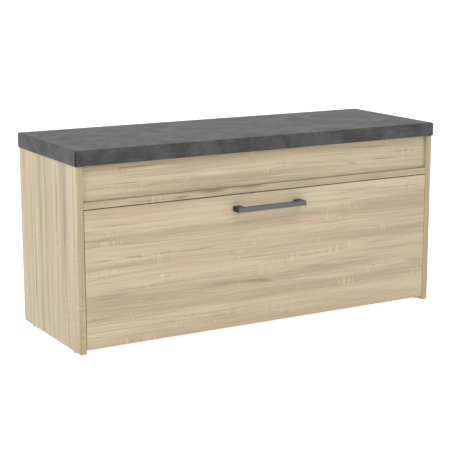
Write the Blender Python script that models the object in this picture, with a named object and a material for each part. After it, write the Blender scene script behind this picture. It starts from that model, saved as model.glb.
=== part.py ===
"""Entryway bench: a padded seat that lifts off a shallow compartment, above a wide tilt-out shoe flap.

Metres, +Z up. The front faces -Y and the origin is on the floor under the middle of the whole bench.
"""

import math

import bmesh
import bpy
from mathutils import Vector

# ---- driving dimensions -------------------------------------------------------------------------
BENCH_WIDTH = 1.000  # over the two side panels
SIDE_DEPTH = 0.345
SIDE_HEIGHT = 0.438
BOARD = 0.016
TRAY_BOARD = 0.012
BACK_BOARD = 0.0027
EDGE_ROUND = 0.0008  # rounding of every banded board edge

FIT = 0.0003  # gap between two pieces that touch
RUNNING_FIT = 0.0001  # radial clearance of a pin in its hole

GLIDE_HEIGHT = 0.004
GLIDE_RADIUS = 0.007
GLIDE_NAIL_RADIUS = 0.001
GLIDE_NAIL_LENGTH = 0.012
GLIDE_FROM_FRONT = 0.040
GLIDE_FROM_REAR = 0.050

FLAP_FLOOR_GAP = 0.0095  # below the flap's front, over the side panels' lower ends
FLAP_HEIGHT = 0.3273
FLAP_TOP_GAP = 0.002
FLAP_SIDE_GAP = 0.001
UPPER_FRONT_RECESS = 0.008
RAIL_HEIGHT = 0.060
BACK_TOP_DROP = 0.030  # the thin back ends this far below the top, to leave the hinge leaves room
BACK_SIDE_INSET = 0.001
BACK_FLOOR_GAP = 0.008
BOTTOM_FROM_FRONT = 0.080
BOTTOM_FLOOR_GAP = 0.016

SEAT_FRONT_OVERHANG = 0.005
SEAT_SIDE_OVERHANG = 0.003
SEAT_THICKNESS = 0.0332
SEAT_ROUND = 0.006
COVER_THICKNESS = 0.001
HEM_WIDTH = 0.030

LEAF = 0.0012
HINGE_LENGTH = 0.050
HINGE_MIDDLE_KNUCKLE = 0.024
HINGE_LEAF_WIDTH = 0.024
HINGE_FROM_END = 0.160
KNUCKLE_RADIUS = 0.0028
HINGE_PIN_RADIUS = 0.0012
HINGE_PIN_HEAD_RADIUS = 0.0022
HINGE_PIN_HEAD = 0.0008

BUMPER_RADIUS = 0.004
BUMPER_FROM_FRONT = 0.030

PIVOT_BEHIND_FLAP = 0.012
PIVOT_RADIUS = 0.004
PIN_DEPTH_IN_PANEL = 0.010
CHEEK = 0.003
CHEEK_SIDE_GAP = 0.0015
CHEEK_TO_BACK = 0.055  # room behind the cheeks' round rear edge
CHEEK_BELOW_PIVOT = 0.020
CHEEK_OVER_BOTTOM = 0.002
CHEEK_FLANGE = 0.014
STOP_INSIDE_EDGE = 0.062  # the stop slot's middle, in from the cheeks' round edge
STOP_ANGLE = math.radians(75)  # the stop pin's place about the pivot, up from the level
STOP_SLOT_SLACK = math.radians(1)
FLAP_OPENING = math.radians(45)
TRAY_INSIDE_EDGE = 0.016
TRAY_FLOOR_BELOW_PIVOT = 0.004
TRAY_BACK_HEIGHT = 0.096
TRAY_SHELF_DEPTH = 0.114
TRAY_SHELF_ABOVE_PIVOT = 0.132

HANDLE_LENGTH = 0.192
HANDLE_HEIGHT = 0.012
HANDLE_PROJECTION = 0.029
HANDLE_BAR = 0.009
HANDLE_FOOT = 0.020
HANDLE_BELOW_TOP = 0.033  # flap's top edge down to the middle of the handle
HANDLE_ROUND = 0.0006
SCREW_RADIUS = 0.002
SCREW_HEAD_RADIUS = 0.004
SCREW_HEAD = 0.0025
SCREW_BITE = 0.010

CAM_RADIUS = 0.0075
CAM_LENGTH = 0.0125
CAM_SLOT_DEPTH = 0.003
CAM_SLOT_WIDTH = 0.002
CAM_SLOT_LENGTH = 0.010
CAM_FROM_END = 0.034
BOLT_RADIUS = 0.0029
BOLT_BITE = 0.010
BOLT_HOLE_GAP = 0.0011
DOWEL_RADIUS = 0.004
DOWEL_LENGTH = 0.030
DOWEL_BITE = 0.010  # how far a dowel stands in the side panel
FITTING_FROM_EDGE = 0.050

STAY_PLATE = 0.002
STAY_PIN_RADIUS = 0.003
STAY_HEAD_RADIUS = 0.005
STAY_HEAD = 0.0012
STAY_RIVET_HEAD = 0.0012
STAY_BAR_WIDTH = 0.012
STAY_BASE_SIZE = (0.030, 0.034)
STAY_BASE_TO_RAIL = 0.018
STAY_BASE_BELOW_TOP = 0.042
STAY_REACH = 0.150
STAY_BRACKET_DROP = 0.0107  # the lid bracket's pivot below the hinge axis
STAY_TAB_WIDTH = 0.014
STAY_FLANGE_SIZE = (0.014, 0.034)

ROUND_SIDES = 24
SMALL_ROUND_SIDES = 16
LEFT, RIGHT = -1, 1

# ---- places worked out from them ----------------------------------------------------------------
INNER_X = BENCH_WIDTH / 2 - BOARD
SIDE_MIDDLE_X = BENCH_WIDTH / 2 - BOARD / 2
LID_GAP = LEAF + 2 * FIT
HINGE_BEHIND_CARCASS = FIT + KNUCKLE_RADIUS
WHOLE_DEPTH = HANDLE_PROJECTION + SIDE_DEPTH + HINGE_BEHIND_CARCASS + KNUCKLE_RADIUS

FRONT_Y = HANDLE_PROJECTION - WHOLE_DEPTH / 2
REAR_Y = FRONT_Y + SIDE_DEPTH
BACK_FACE_Y = REAR_Y + FIT + BACK_BOARD
SIDE_BOTTOM = GLIDE_HEIGHT
SIDE_TOP = SIDE_BOTTOM + SIDE_HEIGHT
FLAP_BOTTOM = SIDE_BOTTOM + FLAP_FLOOR_GAP
FLAP_TOP = FLAP_BOTTOM + FLAP_HEIGHT
FLAP_BACK_Y = FRONT_Y + BOARD
FLOOR_BOTTOM = FLAP_TOP + FLAP_TOP_GAP
FLOOR_TOP = FLOOR_BOTTOM + BOARD
UPPER_FRONT_Y = FRONT_Y + UPPER_FRONT_RECESS
RAIL_FRONT_Y = REAR_Y - BOARD
RAIL_BOTTOM = SIDE_TOP - RAIL_HEIGHT
BOTTOM_Z = SIDE_BOTTOM + BOTTOM_FLOOR_GAP
PIVOT_Z = BOTTOM_Z + BOARD + CHEEK_OVER_BOTTOM + CHEEK_BELOW_PIVOT

HINGE_AXIS = Vector((0, REAR_Y + HINGE_BEHIND_CARCASS, SIDE_TOP + FIT + LEAF - KNUCKLE_RADIUS))
PIVOT_AXIS = Vector((0, FLAP_BACK_Y + PIVOT_BEHIND_FLAP, PIVOT_Z))
CHEEK_RADIUS = REAR_Y - PIVOT_AXIS.y - CHEEK_TO_BACK
STOP_RADIUS = CHEEK_RADIUS - STOP_INSIDE_EDGE
TRAY_DEPTH = CHEEK_RADIUS - TRAY_INSIDE_EDGE
CHEEK_OUTER_X = INNER_X - CHEEK_SIDE_GAP
CHEEK_INNER_X = CHEEK_OUTER_X - CHEEK
TRAY_WIDTH = 2 * (CHEEK_INNER_X - FIT)

SEAT_BOTTOM = SIDE_TOP + LID_GAP
SEAT_TOP = SEAT_BOTTOM + SEAT_THICKNESS
SEAT_FRONT_Y = FRONT_Y - SEAT_FRONT_OVERHANG
SEAT_HALF_WIDTH = BENCH_WIDTH / 2 + SEAT_SIDE_OVERHANG

STAY_BASE_Y = RAIL_FRONT_Y - STAY_BASE_TO_RAIL
STAY_ARM_X = INNER_X - FIT - STAY_PLATE - 2 * FIT - STAY_PLATE / 2
STAY_LINK_X = STAY_ARM_X - STAY_PLATE - 2 * FIT
STAY_PIVOT = Vector((STAY_ARM_X, STAY_BASE_Y, SIDE_TOP - STAY_BASE_BELOW_TOP))
STAY_LID_STEP = Vector((0, -STAY_REACH, -STAY_BRACKET_DROP))
STAY_LID_PIVOT = Vector((STAY_LINK_X, HINGE_AXIS.y, HINGE_AXIS.z)) + STAY_LID_STEP
STAY_ELBOW = STAY_PIVOT + STAY_LID_STEP

ALONG_X = (math.pi / 2, 0, math.pi / 2)
ALONG_MINUS_X = (math.pi / 2, 0, -math.pi / 2)
ALONG_Y = (-math.pi / 2, 0, 0)
ALONG_MINUS_Y = (math.pi / 2, 0, 0)
ALONG_Z = (0, 0, 0)


# ---- materials ----------------------------------------------------------------------------------
def material(name, colour, roughness, metallic=0.0):
    made = bpy.data.materials.new(name)
    made.use_nodes = True
    shader = made.node_tree.nodes["Principled BSDF"]
    shader.inputs["Base Color"].default_value = (*colour, 1)
    shader.inputs["Roughness"].default_value = roughness
    shader.inputs["Metallic"].default_value = metallic
    made.diffuse_color = (*colour, 1)
    return made


# ---- shapes -------------------------------------------------------------------------------------
def finished_mesh(name, bm):
    """The mesh of a bmesh, with its faces turned outward and its round sides shaded smooth."""
    bmesh.ops.recalc_face_normals(bm, faces=bm.faces)
    mesh = bpy.data.meshes.new(name)
    bm.to_mesh(mesh)
    bm.free()
    mesh.shade_smooth()
    mesh.set_sharp_from_angle(angle=math.radians(35))
    return mesh


def box_mesh(name, size):
    bm = bmesh.new()
    bmesh.ops.create_cube(bm, size=1)
    bmesh.ops.scale(bm, vec=size, verts=bm.verts)
    return finished_mesh(name, bm)


def plate_mesh(name, outline, thickness):
    """An outline in X and Y made a plate, half of its thickness to each side along Z."""
    bm = bmesh.new()
    lower = bm.faces.new([bm.verts.new((x, y, -thickness / 2)) for x, y in outline])
    raised = bmesh.ops.extrude_face_region(bm, geom=[lower])["geom"]
    corners = [item for item in raised if isinstance(item, bmesh.types.BMVert)]
    bmesh.ops.translate(bm, verts=corners, vec=(0, 0, thickness))
    return finished_mesh(name, bm)


def turned_mesh(name, profile, sides):
    """A solid turned about Z from (radius, height) points that begin and end on the axis."""
    bm = bmesh.new()
    steps = [2 * math.pi * side / sides for side in range(sides)]
    rings = []
    for radius, height in profile:
        if radius == 0:
            rings.append([bm.verts.new((0, 0, height))])
        else:
            rings.append([bm.verts.new((radius * math.cos(a), radius * math.sin(a), height)) for a in steps])
    for lower, upper in zip(rings, rings[1:]):
        for side in range(sides):
            beside = side + 1
            corners = [
                lower[side % len(lower)],
                lower[beside % len(lower)],
                upper[beside % len(upper)],
                upper[side % len(upper)],
            ]
            bm.faces.new(list(dict.fromkeys(corners)))
    return finished_mesh(name, bm)


def rod_profile(radius, length, start=0.0):
    return [(0, start), (radius, start), (radius, start + length), (0, start + length)]


def arc_points(centre, radius, start, end, steps):
    """Points on an arc, from the start angle to the end angle, both of them included."""
    angles = [start + (end - start) * step / steps for step in range(steps + 1)]
    return [(centre[0] + radius * math.cos(a), centre[1] + radius * math.sin(a)) for a in angles]


def cross_outline(length, width):
    """The outline of two equal bars that cross at their middles."""
    far, near = length / 2, width / 2
    arm = [(far, -near), (far, near), (near, near)]
    outline = []
    for turn in range(4):
        for x, y in arm:
            for _ in range(turn):
                x, y = -y, x
            outline.append((x, y))
    return outline


# ---- objects ------------------------------------------------------------------------------------
def empty(name, at):
    made = bpy.data.objects.new(name, None)
    made.location = at
    bpy.context.scene.collection.objects.link(made)
    return made


def add(name, mesh, finish, group, at, turn=ALONG_Z):
    """An object of the group, placed at a point given in the bench's own frame."""
    made = bpy.data.objects.new(name, mesh)
    made.parent = group
    made.location = Vector(at) - group.location
    made.rotation_euler = turn
    if finish is not None:
        made.data.materials.append(finish)
    bpy.context.scene.collection.objects.link(made)
    return made


def round_edges(piece, width, segments=2):
    bevel = piece.modifiers.new("rounded_edges", "BEVEL")
    bevel.width = width
    bevel.segments = segments
    bevel.limit_method = "ANGLE"


def change_by(piece, mesh, at, turn=ALONG_Z, operation="DIFFERENCE"):
    """Cuts a helper's shape from the piece, or joins it on. The helper is returned, hidden from renders."""
    count = len(piece.modifiers)
    helper = add(f"helper_{piece.name}_{count}", mesh, None, piece.parent, at, turn)
    helper.hide_render = True
    helper.display_type = "WIRE"
    boolean = piece.modifiers.new(f"{operation.lower()}_{count}", "BOOLEAN")
    boolean.operation = operation
    boolean.solver = "EXACT"
    boolean.object = helper
    return helper


def drill(piece, radius, depth, at, turn, sides=SMALL_ROUND_SIDES):
    """Drills a blind hole from a point on the piece's face, along the turned Z axis."""
    mesh = turned_mesh("drill", rod_profile(radius, depth + FIT, -FIT), sides)
    change_by(piece, mesh, at, turn)


def board(name, low, high, finish, group, rounding=EDGE_ROUND):
    """A board between two opposite corners."""
    low, high = Vector(low), Vector(high)
    made = add(name, box_mesh(name, high - low), finish, group, (low + high) / 2)
    if rounding:
        round_edges(made, rounding)
    return made


# ---- carcass ------------------------------------------------------------------------------------
def side_panel(name, side, finish, group):
    outer = side * BENCH_WIDTH / 2
    inner = side * INNER_X
    low = (min(outer, inner), FRONT_Y, SIDE_BOTTOM)
    high = (max(outer, inner), REAR_Y, SIDE_TOP)
    return board(name, low, high, finish, group)


def make_carcass(oak, back_finish, group):
    """The boards of the carcass, by name."""
    inside = INNER_X - FIT
    behind = REAR_Y - FIT
    return {
        "left": side_panel("left_side_panel", LEFT, oak, group),
        "right": side_panel("right_side_panel", RIGHT, oak, group),
        "floor": board(
            "compartment_floor",
            (-inside, FRONT_Y, FLOOR_BOTTOM),
            (inside, behind, FLOOR_TOP),
            oak,
            group,
        ),
        "bottom": board(
            "bottom_panel",
            (-inside, FRONT_Y + BOTTOM_FROM_FRONT, BOTTOM_Z),
            (inside, behind, BOTTOM_Z + BOARD),
            oak,
            group,
        ),
        "upper": board(
            "upper_front_panel",
            (-inside, UPPER_FRONT_Y, FLOOR_TOP + FIT),
            (inside, UPPER_FRONT_Y + BOARD, SIDE_TOP),
            oak,
            group,
        ),
        "rail": board(
            "rear_rail",
            (-inside, RAIL_FRONT_Y, RAIL_BOTTOM),
            (inside, behind, SIDE_TOP),
            oak,
            group,
        ),
        "back": board(
            "back_panel",
            (-BENCH_WIDTH / 2 + BACK_SIDE_INSET, REAR_Y + FIT, SIDE_BOTTOM + BACK_FLOOR_GAP),
            (BENCH_WIDTH / 2 - BACK_SIDE_INSET, BACK_FACE_Y, SIDE_TOP - BACK_TOP_DROP),
            back_finish,
            group,
            rounding=0,
        ),
    }


def make_glides(boards, plastic, group):
    """Nail-on glides under both side panels."""
    foot_edge = GLIDE_RADIUS - 0.3 * GLIDE_HEIGHT
    profile = [
        (0, 0),
        (foot_edge, 0),
        (GLIDE_RADIUS, 0.3 * GLIDE_HEIGHT),
        (GLIDE_RADIUS, GLIDE_HEIGHT - FIT),
        (GLIDE_NAIL_RADIUS, GLIDE_HEIGHT - FIT),
        (GLIDE_NAIL_RADIUS, GLIDE_HEIGHT + GLIDE_NAIL_LENGTH),
        (0, GLIDE_HEIGHT + GLIDE_NAIL_LENGTH),
    ]
    places = {"front": FRONT_Y + GLIDE_FROM_FRONT, "rear": REAR_Y - GLIDE_FROM_REAR}
    for end, y in places.items():
        for side, word in ((LEFT, "left"), (RIGHT, "right")):
            at = (side * SIDE_MIDDLE_X, y, 0)
            name = f"glide_{end}_{word}"
            add(name, turned_mesh(name, profile, ROUND_SIDES), plastic, group, at)
            nail_hole = (at[0], at[1], SIDE_BOTTOM)
            drill(boards[word], GLIDE_NAIL_RADIUS + FIT, GLIDE_NAIL_LENGTH + FIT, nail_hole, ALONG_Z)


def make_bumpers(soft_plastic, group):
    profile = [
        (0, 0),
        (BUMPER_RADIUS, 0),
        (BUMPER_RADIUS, LEAF / 2),
        (BUMPER_RADIUS - LEAF / 2, LEAF),
        (0, LEAF),
    ]
    for side, word in ((LEFT, "left"), (RIGHT, "right")):
        name = f"lid_bumper_{word}"
        at = (side * SIDE_MIDDLE_X, FRONT_Y + BUMPER_FROM_FRONT, SIDE_TOP + FIT)
        add(name, turned_mesh(name, profile, SMALL_ROUND_SIDES), soft_plastic, group, at)


def cam_and_bolt(name, target, panel, side, seat, seat_turn, mid_depth, metal, group):
    """A round cam in the board's face and the bolt that runs to it from the side panel.

    seat is the middle of the cam's pocket on the board's face, seat_turn points into the board and
    mid_depth is the way from that face to the bolt's line.
    """
    drill(target, CAM_RADIUS + FIT, CAM_LENGTH + FIT, seat, seat_turn, ROUND_SIDES)
    profile = rod_profile(CAM_RADIUS, CAM_LENGTH)
    cam = add(f"cam_{name}", turned_mesh("cam", profile, ROUND_SIDES), metal, group, seat, seat_turn)
    cross = plate_mesh("cross_slot", cross_outline(CAM_SLOT_LENGTH, CAM_SLOT_WIDTH), 2 * CAM_SLOT_DEPTH)
    change_by(cam, cross, seat, seat_turn)

    panel_face = Vector((side * INNER_X, seat[1], seat[2])) + mid_depth
    board_end = panel_face.copy()
    board_end.x = side * (INNER_X - FIT)
    outward, inward = (ALONG_X, ALONG_MINUS_X) if side == RIGHT else (ALONG_MINUS_X, ALONG_X)
    reach = CAM_FROM_END - CAM_RADIUS - FIT
    drill(target, BOLT_RADIUS + BOLT_HOLE_GAP, reach, board_end, inward)
    drill(panel, BOLT_RADIUS + FIT, BOLT_BITE + FIT, panel_face, outward)
    bolt = rod_profile(BOLT_RADIUS, reach - FIT + BOLT_BITE, -(reach - FIT))
    bolt_mesh = turned_mesh("cam_bolt", bolt, SMALL_ROUND_SIDES)
    add(f"cam_bolt_{name}", bolt_mesh, metal, group, panel_face, outward)


def make_cams(boards, metal, group):
    half = BOARD / 2
    front_y = FRONT_Y + FITTING_FROM_EDGE
    rear_y = REAR_Y - FITTING_FROM_EDGE
    upper_z = (FLOOR_TOP + SIDE_TOP) / 2
    rail_z = (RAIL_BOTTOM + SIDE_TOP) / 2
    for side, word in ((LEFT, "left"), (RIGHT, "right")):
        x = side * (INNER_X - CAM_FROM_END)
        panel = boards[word]
        for end, y in (("front", front_y), ("rear", rear_y)):
            seat = (x, y, FLOOR_BOTTOM)
            up = Vector((0, 0, half))
            cam_and_bolt(f"floor_{end}_{word}", boards["floor"], panel, side, seat, ALONG_Z, up, metal, group)
        seat = (x, UPPER_FRONT_Y + BOARD, upper_z)
        ahead = Vector((0, -half, 0))
        cam_and_bolt(f"upper_{word}", boards["upper"], panel, side, seat, ALONG_MINUS_Y, ahead, metal, group)
        seat = (x, RAIL_FRONT_Y, rail_z)
        back = Vector((0, half, 0))
        cam_and_bolt(f"rail_{word}", boards["rail"], panel, side, seat, ALONG_Y, back, metal, group)


def make_dowels(boards, beech, group):
    """Two glued dowels in each end of the bottom panel."""
    z = BOTTOM_Z + BOARD / 2
    front_y = FRONT_Y + BOTTOM_FROM_FRONT + FITTING_FROM_EDGE
    rear_y = REAR_Y - FITTING_FROM_EDGE
    in_board = DOWEL_LENGTH - DOWEL_BITE
    hole = DOWEL_RADIUS + RUNNING_FIT
    profile = rod_profile(DOWEL_RADIUS, DOWEL_LENGTH, -in_board)
    for side, word in ((LEFT, "left"), (RIGHT, "right")):
        outward, inward = (ALONG_X, ALONG_MINUS_X) if side == RIGHT else (ALONG_MINUS_X, ALONG_X)
        for end, y in (("front", front_y), ("rear", rear_y)):
            face = (side * INNER_X, y, z)
            board_end = (side * (INNER_X - FIT), y, z)
            drill(boards[word], hole, DOWEL_BITE + FIT, face, outward)
            drill(boards["bottom"], hole, in_board, board_end, inward)
            name = f"dowel_{end}_{word}"
            add(name, turned_mesh(name, profile, SMALL_ROUND_SIDES), beech, group, face, outward)


# ---- seat and its hinges ------------------------------------------------------------------------
def make_seat(cover_finish, foam_finish, oak, group):
    """A board with a foam pad on it, in a cover that is folded under and left open inside its hem."""
    low = Vector((-SEAT_HALF_WIDTH, SEAT_FRONT_Y, SEAT_BOTTOM))
    high = Vector((SEAT_HALF_WIDTH, BACK_FACE_Y, SEAT_TOP))
    middle = (low + high) / 2
    cover = add("seat_cover", box_mesh("seat_cover", high - low), cover_finish, group, middle)
    round_edges(cover, SEAT_ROUND, segments=3)
    skin = Vector((COVER_THICKNESS, COVER_THICKNESS, COVER_THICKNESS))
    hollow = change_by(cover, box_mesh("seat_hollow", high - low - 2 * skin), middle)
    round_edges(hollow, SEAT_ROUND - COVER_THICKNESS, segments=3)
    mouth_size = (high.x - low.x - 2 * HEM_WIDTH, high.y - low.y - 2 * HEM_WIDTH, 4 * COVER_THICKNESS)
    change_by(cover, box_mesh("seat_mouth", mouth_size), (middle.x, middle.y, low.z))

    inset = COVER_THICKNESS + FIT
    board_bottom = SEAT_BOTTOM + inset
    board_top = board_bottom + BOARD
    board_low = (low.x + inset, low.y + inset, board_bottom)
    board_high = (high.x - inset, high.y - inset, board_top)
    board("seat_board", board_low, board_high, oak, group, rounding=SEAT_ROUND - inset)
    foam_low = (low.x + inset, low.y + inset, board_top + FIT)
    foam_high = (high.x - inset, high.y - inset, SEAT_TOP - inset)
    board("seat_foam", foam_low, foam_high, foam_finish, group, rounding=SEAT_ROUND - inset)


def knuckle_mesh(length):
    return turned_mesh("knuckle", rod_profile(KNUCKLE_RADIUS, length, -length / 2), ROUND_SIDES)


def finish_leaf(leaf, x, knuckles, tongue_middle, tongue_size):
    """Joins a leaf's knuckles on by short tongues, and then drills them for the pin."""
    for middle, length in knuckles:
        tongue = box_mesh("tongue", (length, *tongue_size))
        change_by(leaf, tongue, (x + middle, *tongue_middle), operation="UNION")
        at = (x + middle, HINGE_AXIS.y, HINGE_AXIS.z)
        change_by(leaf, knuckle_mesh(length), at, ALONG_X, operation="UNION")
    start = (x - HINGE_LENGTH / 2 - FIT, HINGE_AXIS.y, HINGE_AXIS.z)
    drill(leaf, HINGE_PIN_RADIUS + RUNNING_FIT, HINGE_LENGTH + 2 * FIT, start, ALONG_X)


def make_hinge(word, side, steel, carcass, lid):
    """A butt hinge: one leaf behind the rear rail, one under the seat, and their pin."""
    x = side * (INNER_X - HINGE_FROM_END)
    outer_length = (HINGE_LENGTH - HINGE_MIDDLE_KNUCKLE) / 2 - FIT
    outer_middle = (HINGE_LENGTH - outer_length) / 2
    lean = FIT / 3  # keeps a leaf's face off the knuckle's own corners

    y = HINGE_AXIS.y - KNUCKLE_RADIUS + LEAF / 2 + lean
    top = HINGE_AXIS.z - KNUCKLE_RADIUS - FIT
    size = (HINGE_LENGTH, LEAF, HINGE_LEAF_WIDTH)
    at = (x, y, top - HINGE_LEAF_WIDTH / 2)
    leaf = add(f"hinge_rail_leaf_{word}", box_mesh("rail_leaf", size), steel, carcass, at)
    tongue_length = KNUCKLE_RADIUS + 2 * FIT
    knuckles = [(-outer_middle, outer_length), (outer_middle, outer_length)]
    tongue_middle = (y, top + tongue_length / 2 - FIT / 2)
    finish_leaf(leaf, x, knuckles, tongue_middle, (LEAF, tongue_length + FIT))

    z = HINGE_AXIS.z + KNUCKLE_RADIUS - LEAF / 2 - lean
    rear = HINGE_AXIS.y - KNUCKLE_RADIUS - FIT
    size = (HINGE_LENGTH, HINGE_LEAF_WIDTH, LEAF)
    at = (x, rear - HINGE_LEAF_WIDTH / 2, z)
    leaf = add(f"hinge_lid_leaf_{word}", box_mesh("lid_leaf", size), steel, lid, at)
    tongue_middle = (rear + tongue_length / 2 - FIT / 2, z)
    finish_leaf(leaf, x, [(0, HINGE_MIDDLE_KNUCKLE)], tongue_middle, (tongue_length + FIT, LEAF))

    half = HINGE_LENGTH / 2 + FIT
    profile = [
        (0, -half - HINGE_PIN_HEAD),
        (HINGE_PIN_HEAD_RADIUS, -half - HINGE_PIN_HEAD),
        (HINGE_PIN_HEAD_RADIUS, -half),
        (HINGE_PIN_RADIUS, -half),
        (HINGE_PIN_RADIUS, half),
        (0, half),
    ]
    name = f"hinge_pin_{word}"
    at = (x, HINGE_AXIS.y, HINGE_AXIS.z)
    add(name, turned_mesh(name, profile, SMALL_ROUND_SIDES), steel, carcass, at, ALONG_X)


# ---- lid stay -----------------------------------------------------------------------------------
def bar_outline(span, half_width, steps=8):
    """A straight bar's outline with round ends, about the points (0, 0) and span."""
    angle = math.atan2(span[1], span[0])
    quarter = math.pi / 2
    near = arc_points((0, 0), half_width, angle + quarter, angle + 3 * quarter, steps)
    far = arc_points(span, half_width, angle - quarter, angle + quarter, steps)
    return near + far


def stay_bar(name, span, at, steel, group):
    mesh = plate_mesh(name, bar_outline(span, STAY_BAR_WIDTH / 2), STAY_PLATE)
    bar = add(name, mesh, steel, group, at, ALONG_X)
    for step in ((0, 0), span):
        face = Vector(at) + Vector((-STAY_PLATE / 2 - FIT, *step))
        drill(bar, STAY_PIN_RADIUS + RUNNING_FIT, STAY_PLATE + 2 * FIT, face, ALONG_X)
    return bar


def headed_pin_profile(shank):
    """A pin from zero height that ends in a flat head."""
    return [
        (0, 0),
        (STAY_PIN_RADIUS, 0),
        (STAY_PIN_RADIUS, shank),
        (STAY_HEAD_RADIUS, shank),
        (STAY_HEAD_RADIUS, shank + STAY_HEAD),
        (0, shank + STAY_HEAD),
    ]


def make_stay(steel, carcass, lid, arm_group, link_group):
    """A folding stay beside the right side panel, laid out as a parallelogram with the lid's hinge."""
    span = (STAY_LID_STEP.y, STAY_LID_STEP.z)
    plate_middle = Vector((INNER_X - FIT - STAY_PLATE / 2, STAY_PIVOT.y, STAY_PIVOT.z))
    size = (STAY_PLATE, *STAY_BASE_SIZE)
    base = add("stay_base", box_mesh("stay_base", size), steel, carcass, plate_middle)
    shank = STAY_PLATE / 2 + 2 * FIT + STAY_PLATE + 2 * FIT
    pin = turned_mesh("stay_base_pin", headed_pin_profile(shank), ROUND_SIDES)
    change_by(base, pin, plate_middle, ALONG_MINUS_X, operation="UNION")

    stay_bar("stay_arm", span, STAY_PIVOT, steel, arm_group)
    link_step = (STAY_PIVOT.y - HINGE_AXIS.y, STAY_PIVOT.z - HINGE_AXIS.z)
    stay_bar("stay_link", link_step, STAY_LID_PIVOT, steel, link_group)

    rivet_head = STAY_PIN_RADIUS + FIT
    elbow = [(0, -STAY_RIVET_HEAD), (rivet_head, -STAY_RIVET_HEAD), (rivet_head, 0)]
    elbow += headed_pin_profile(2 * STAY_PLATE + 4 * FIT)[1:]
    at = (STAY_ARM_X + STAY_PLATE / 2 + FIT, *STAY_ELBOW.yz)
    elbow_mesh = turned_mesh("stay_elbow_pin", elbow, ROUND_SIDES)
    add("stay_elbow_pin", elbow_mesh, steel, arm_group, at, ALONG_MINUS_X)

    flange_top = SEAT_BOTTOM - FIT
    flange_x = STAY_ARM_X + STAY_PLATE / 2 - STAY_FLANGE_SIZE[0] / 2
    flange_middle = (flange_x, STAY_LID_PIVOT.y, flange_top - STAY_PLATE / 2)
    size = (*STAY_FLANGE_SIZE, STAY_PLATE)
    bracket = add("stay_lid_bracket", box_mesh("stay_lid_bracket", size), steel, lid, flange_middle)
    tab_bottom = STAY_LID_PIVOT.z - STAY_TAB_WIDTH / 2
    tab_top = flange_top - STAY_PLATE / 2
    tab_size = (STAY_PLATE, STAY_TAB_WIDTH, tab_top - tab_bottom)
    tab_middle = (STAY_ARM_X, STAY_LID_PIVOT.y, (tab_top + tab_bottom) / 2)
    change_by(bracket, box_mesh("stay_tab", tab_size), tab_middle, operation="UNION")
    pin = turned_mesh("stay_lid_pin", headed_pin_profile(shank), ROUND_SIDES)
    at = (STAY_ARM_X, STAY_LID_PIVOT.y, STAY_LID_PIVOT.z)
    change_by(bracket, pin, at, ALONG_MINUS_X, operation="UNION")


# ---- flap ---------------------------------------------------------------------------------------
def make_flap_front(oak, group):
    half = INNER_X - FLAP_SIDE_GAP
    return board("flap_front", (-half, FRONT_Y, FLAP_BOTTOM), (half, FLAP_BACK_Y, FLAP_TOP), oak, group)


def make_handle(flap_front, dark_metal, steel, group):
    """A square bridge handle and the two screws that hold it from behind."""
    half = HANDLE_LENGTH / 2
    inner = half - HANDLE_FOOT
    near, far = -FIT, -HANDLE_PROJECTION
    bar_back = far + HANDLE_BAR
    outline = [
        (-half, near),
        (-half, far),
        (half, far),
        (half, near),
        (inner, near),
        (inner, bar_back),
        (-inner, bar_back),
        (-inner, near),
    ]
    z = FLAP_TOP - HANDLE_BELOW_TOP
    mesh = plate_mesh("flap_handle", outline, HANDLE_HEIGHT)
    handle = add("flap_handle", mesh, dark_metal, group, (0, FRONT_Y, z))
    round_edges(handle, HANDLE_ROUND)
    shank = BOARD + FIT + SCREW_BITE
    profile = [
        (0, 0),
        (SCREW_RADIUS, 0),
        (SCREW_RADIUS, shank + FIT),
        (SCREW_HEAD_RADIUS, shank + FIT),
        (SCREW_HEAD_RADIUS, shank + FIT + 0.6 * SCREW_HEAD),
        (0.6 * SCREW_HEAD_RADIUS, shank + FIT + SCREW_HEAD),
        (0, shank + FIT + SCREW_HEAD),
    ]
    for side, word in ((LEFT, "left"), (RIGHT, "right")):
        x = side * (half - HANDLE_FOOT / 2)
        hole = SCREW_RADIUS + RUNNING_FIT
        drill(handle, hole, SCREW_BITE + FIT, (x, FRONT_Y - FIT, z), ALONG_MINUS_Y)
        drill(flap_front, hole, BOARD + FIT, (x, FRONT_Y, z), ALONG_Y)
        name = f"handle_screw_{word}"
        tip = (x, FRONT_Y - FIT - SCREW_BITE, z)
        add(name, turned_mesh(name, profile, SMALL_ROUND_SIDES), steel, group, tip, ALONG_Y)


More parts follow.
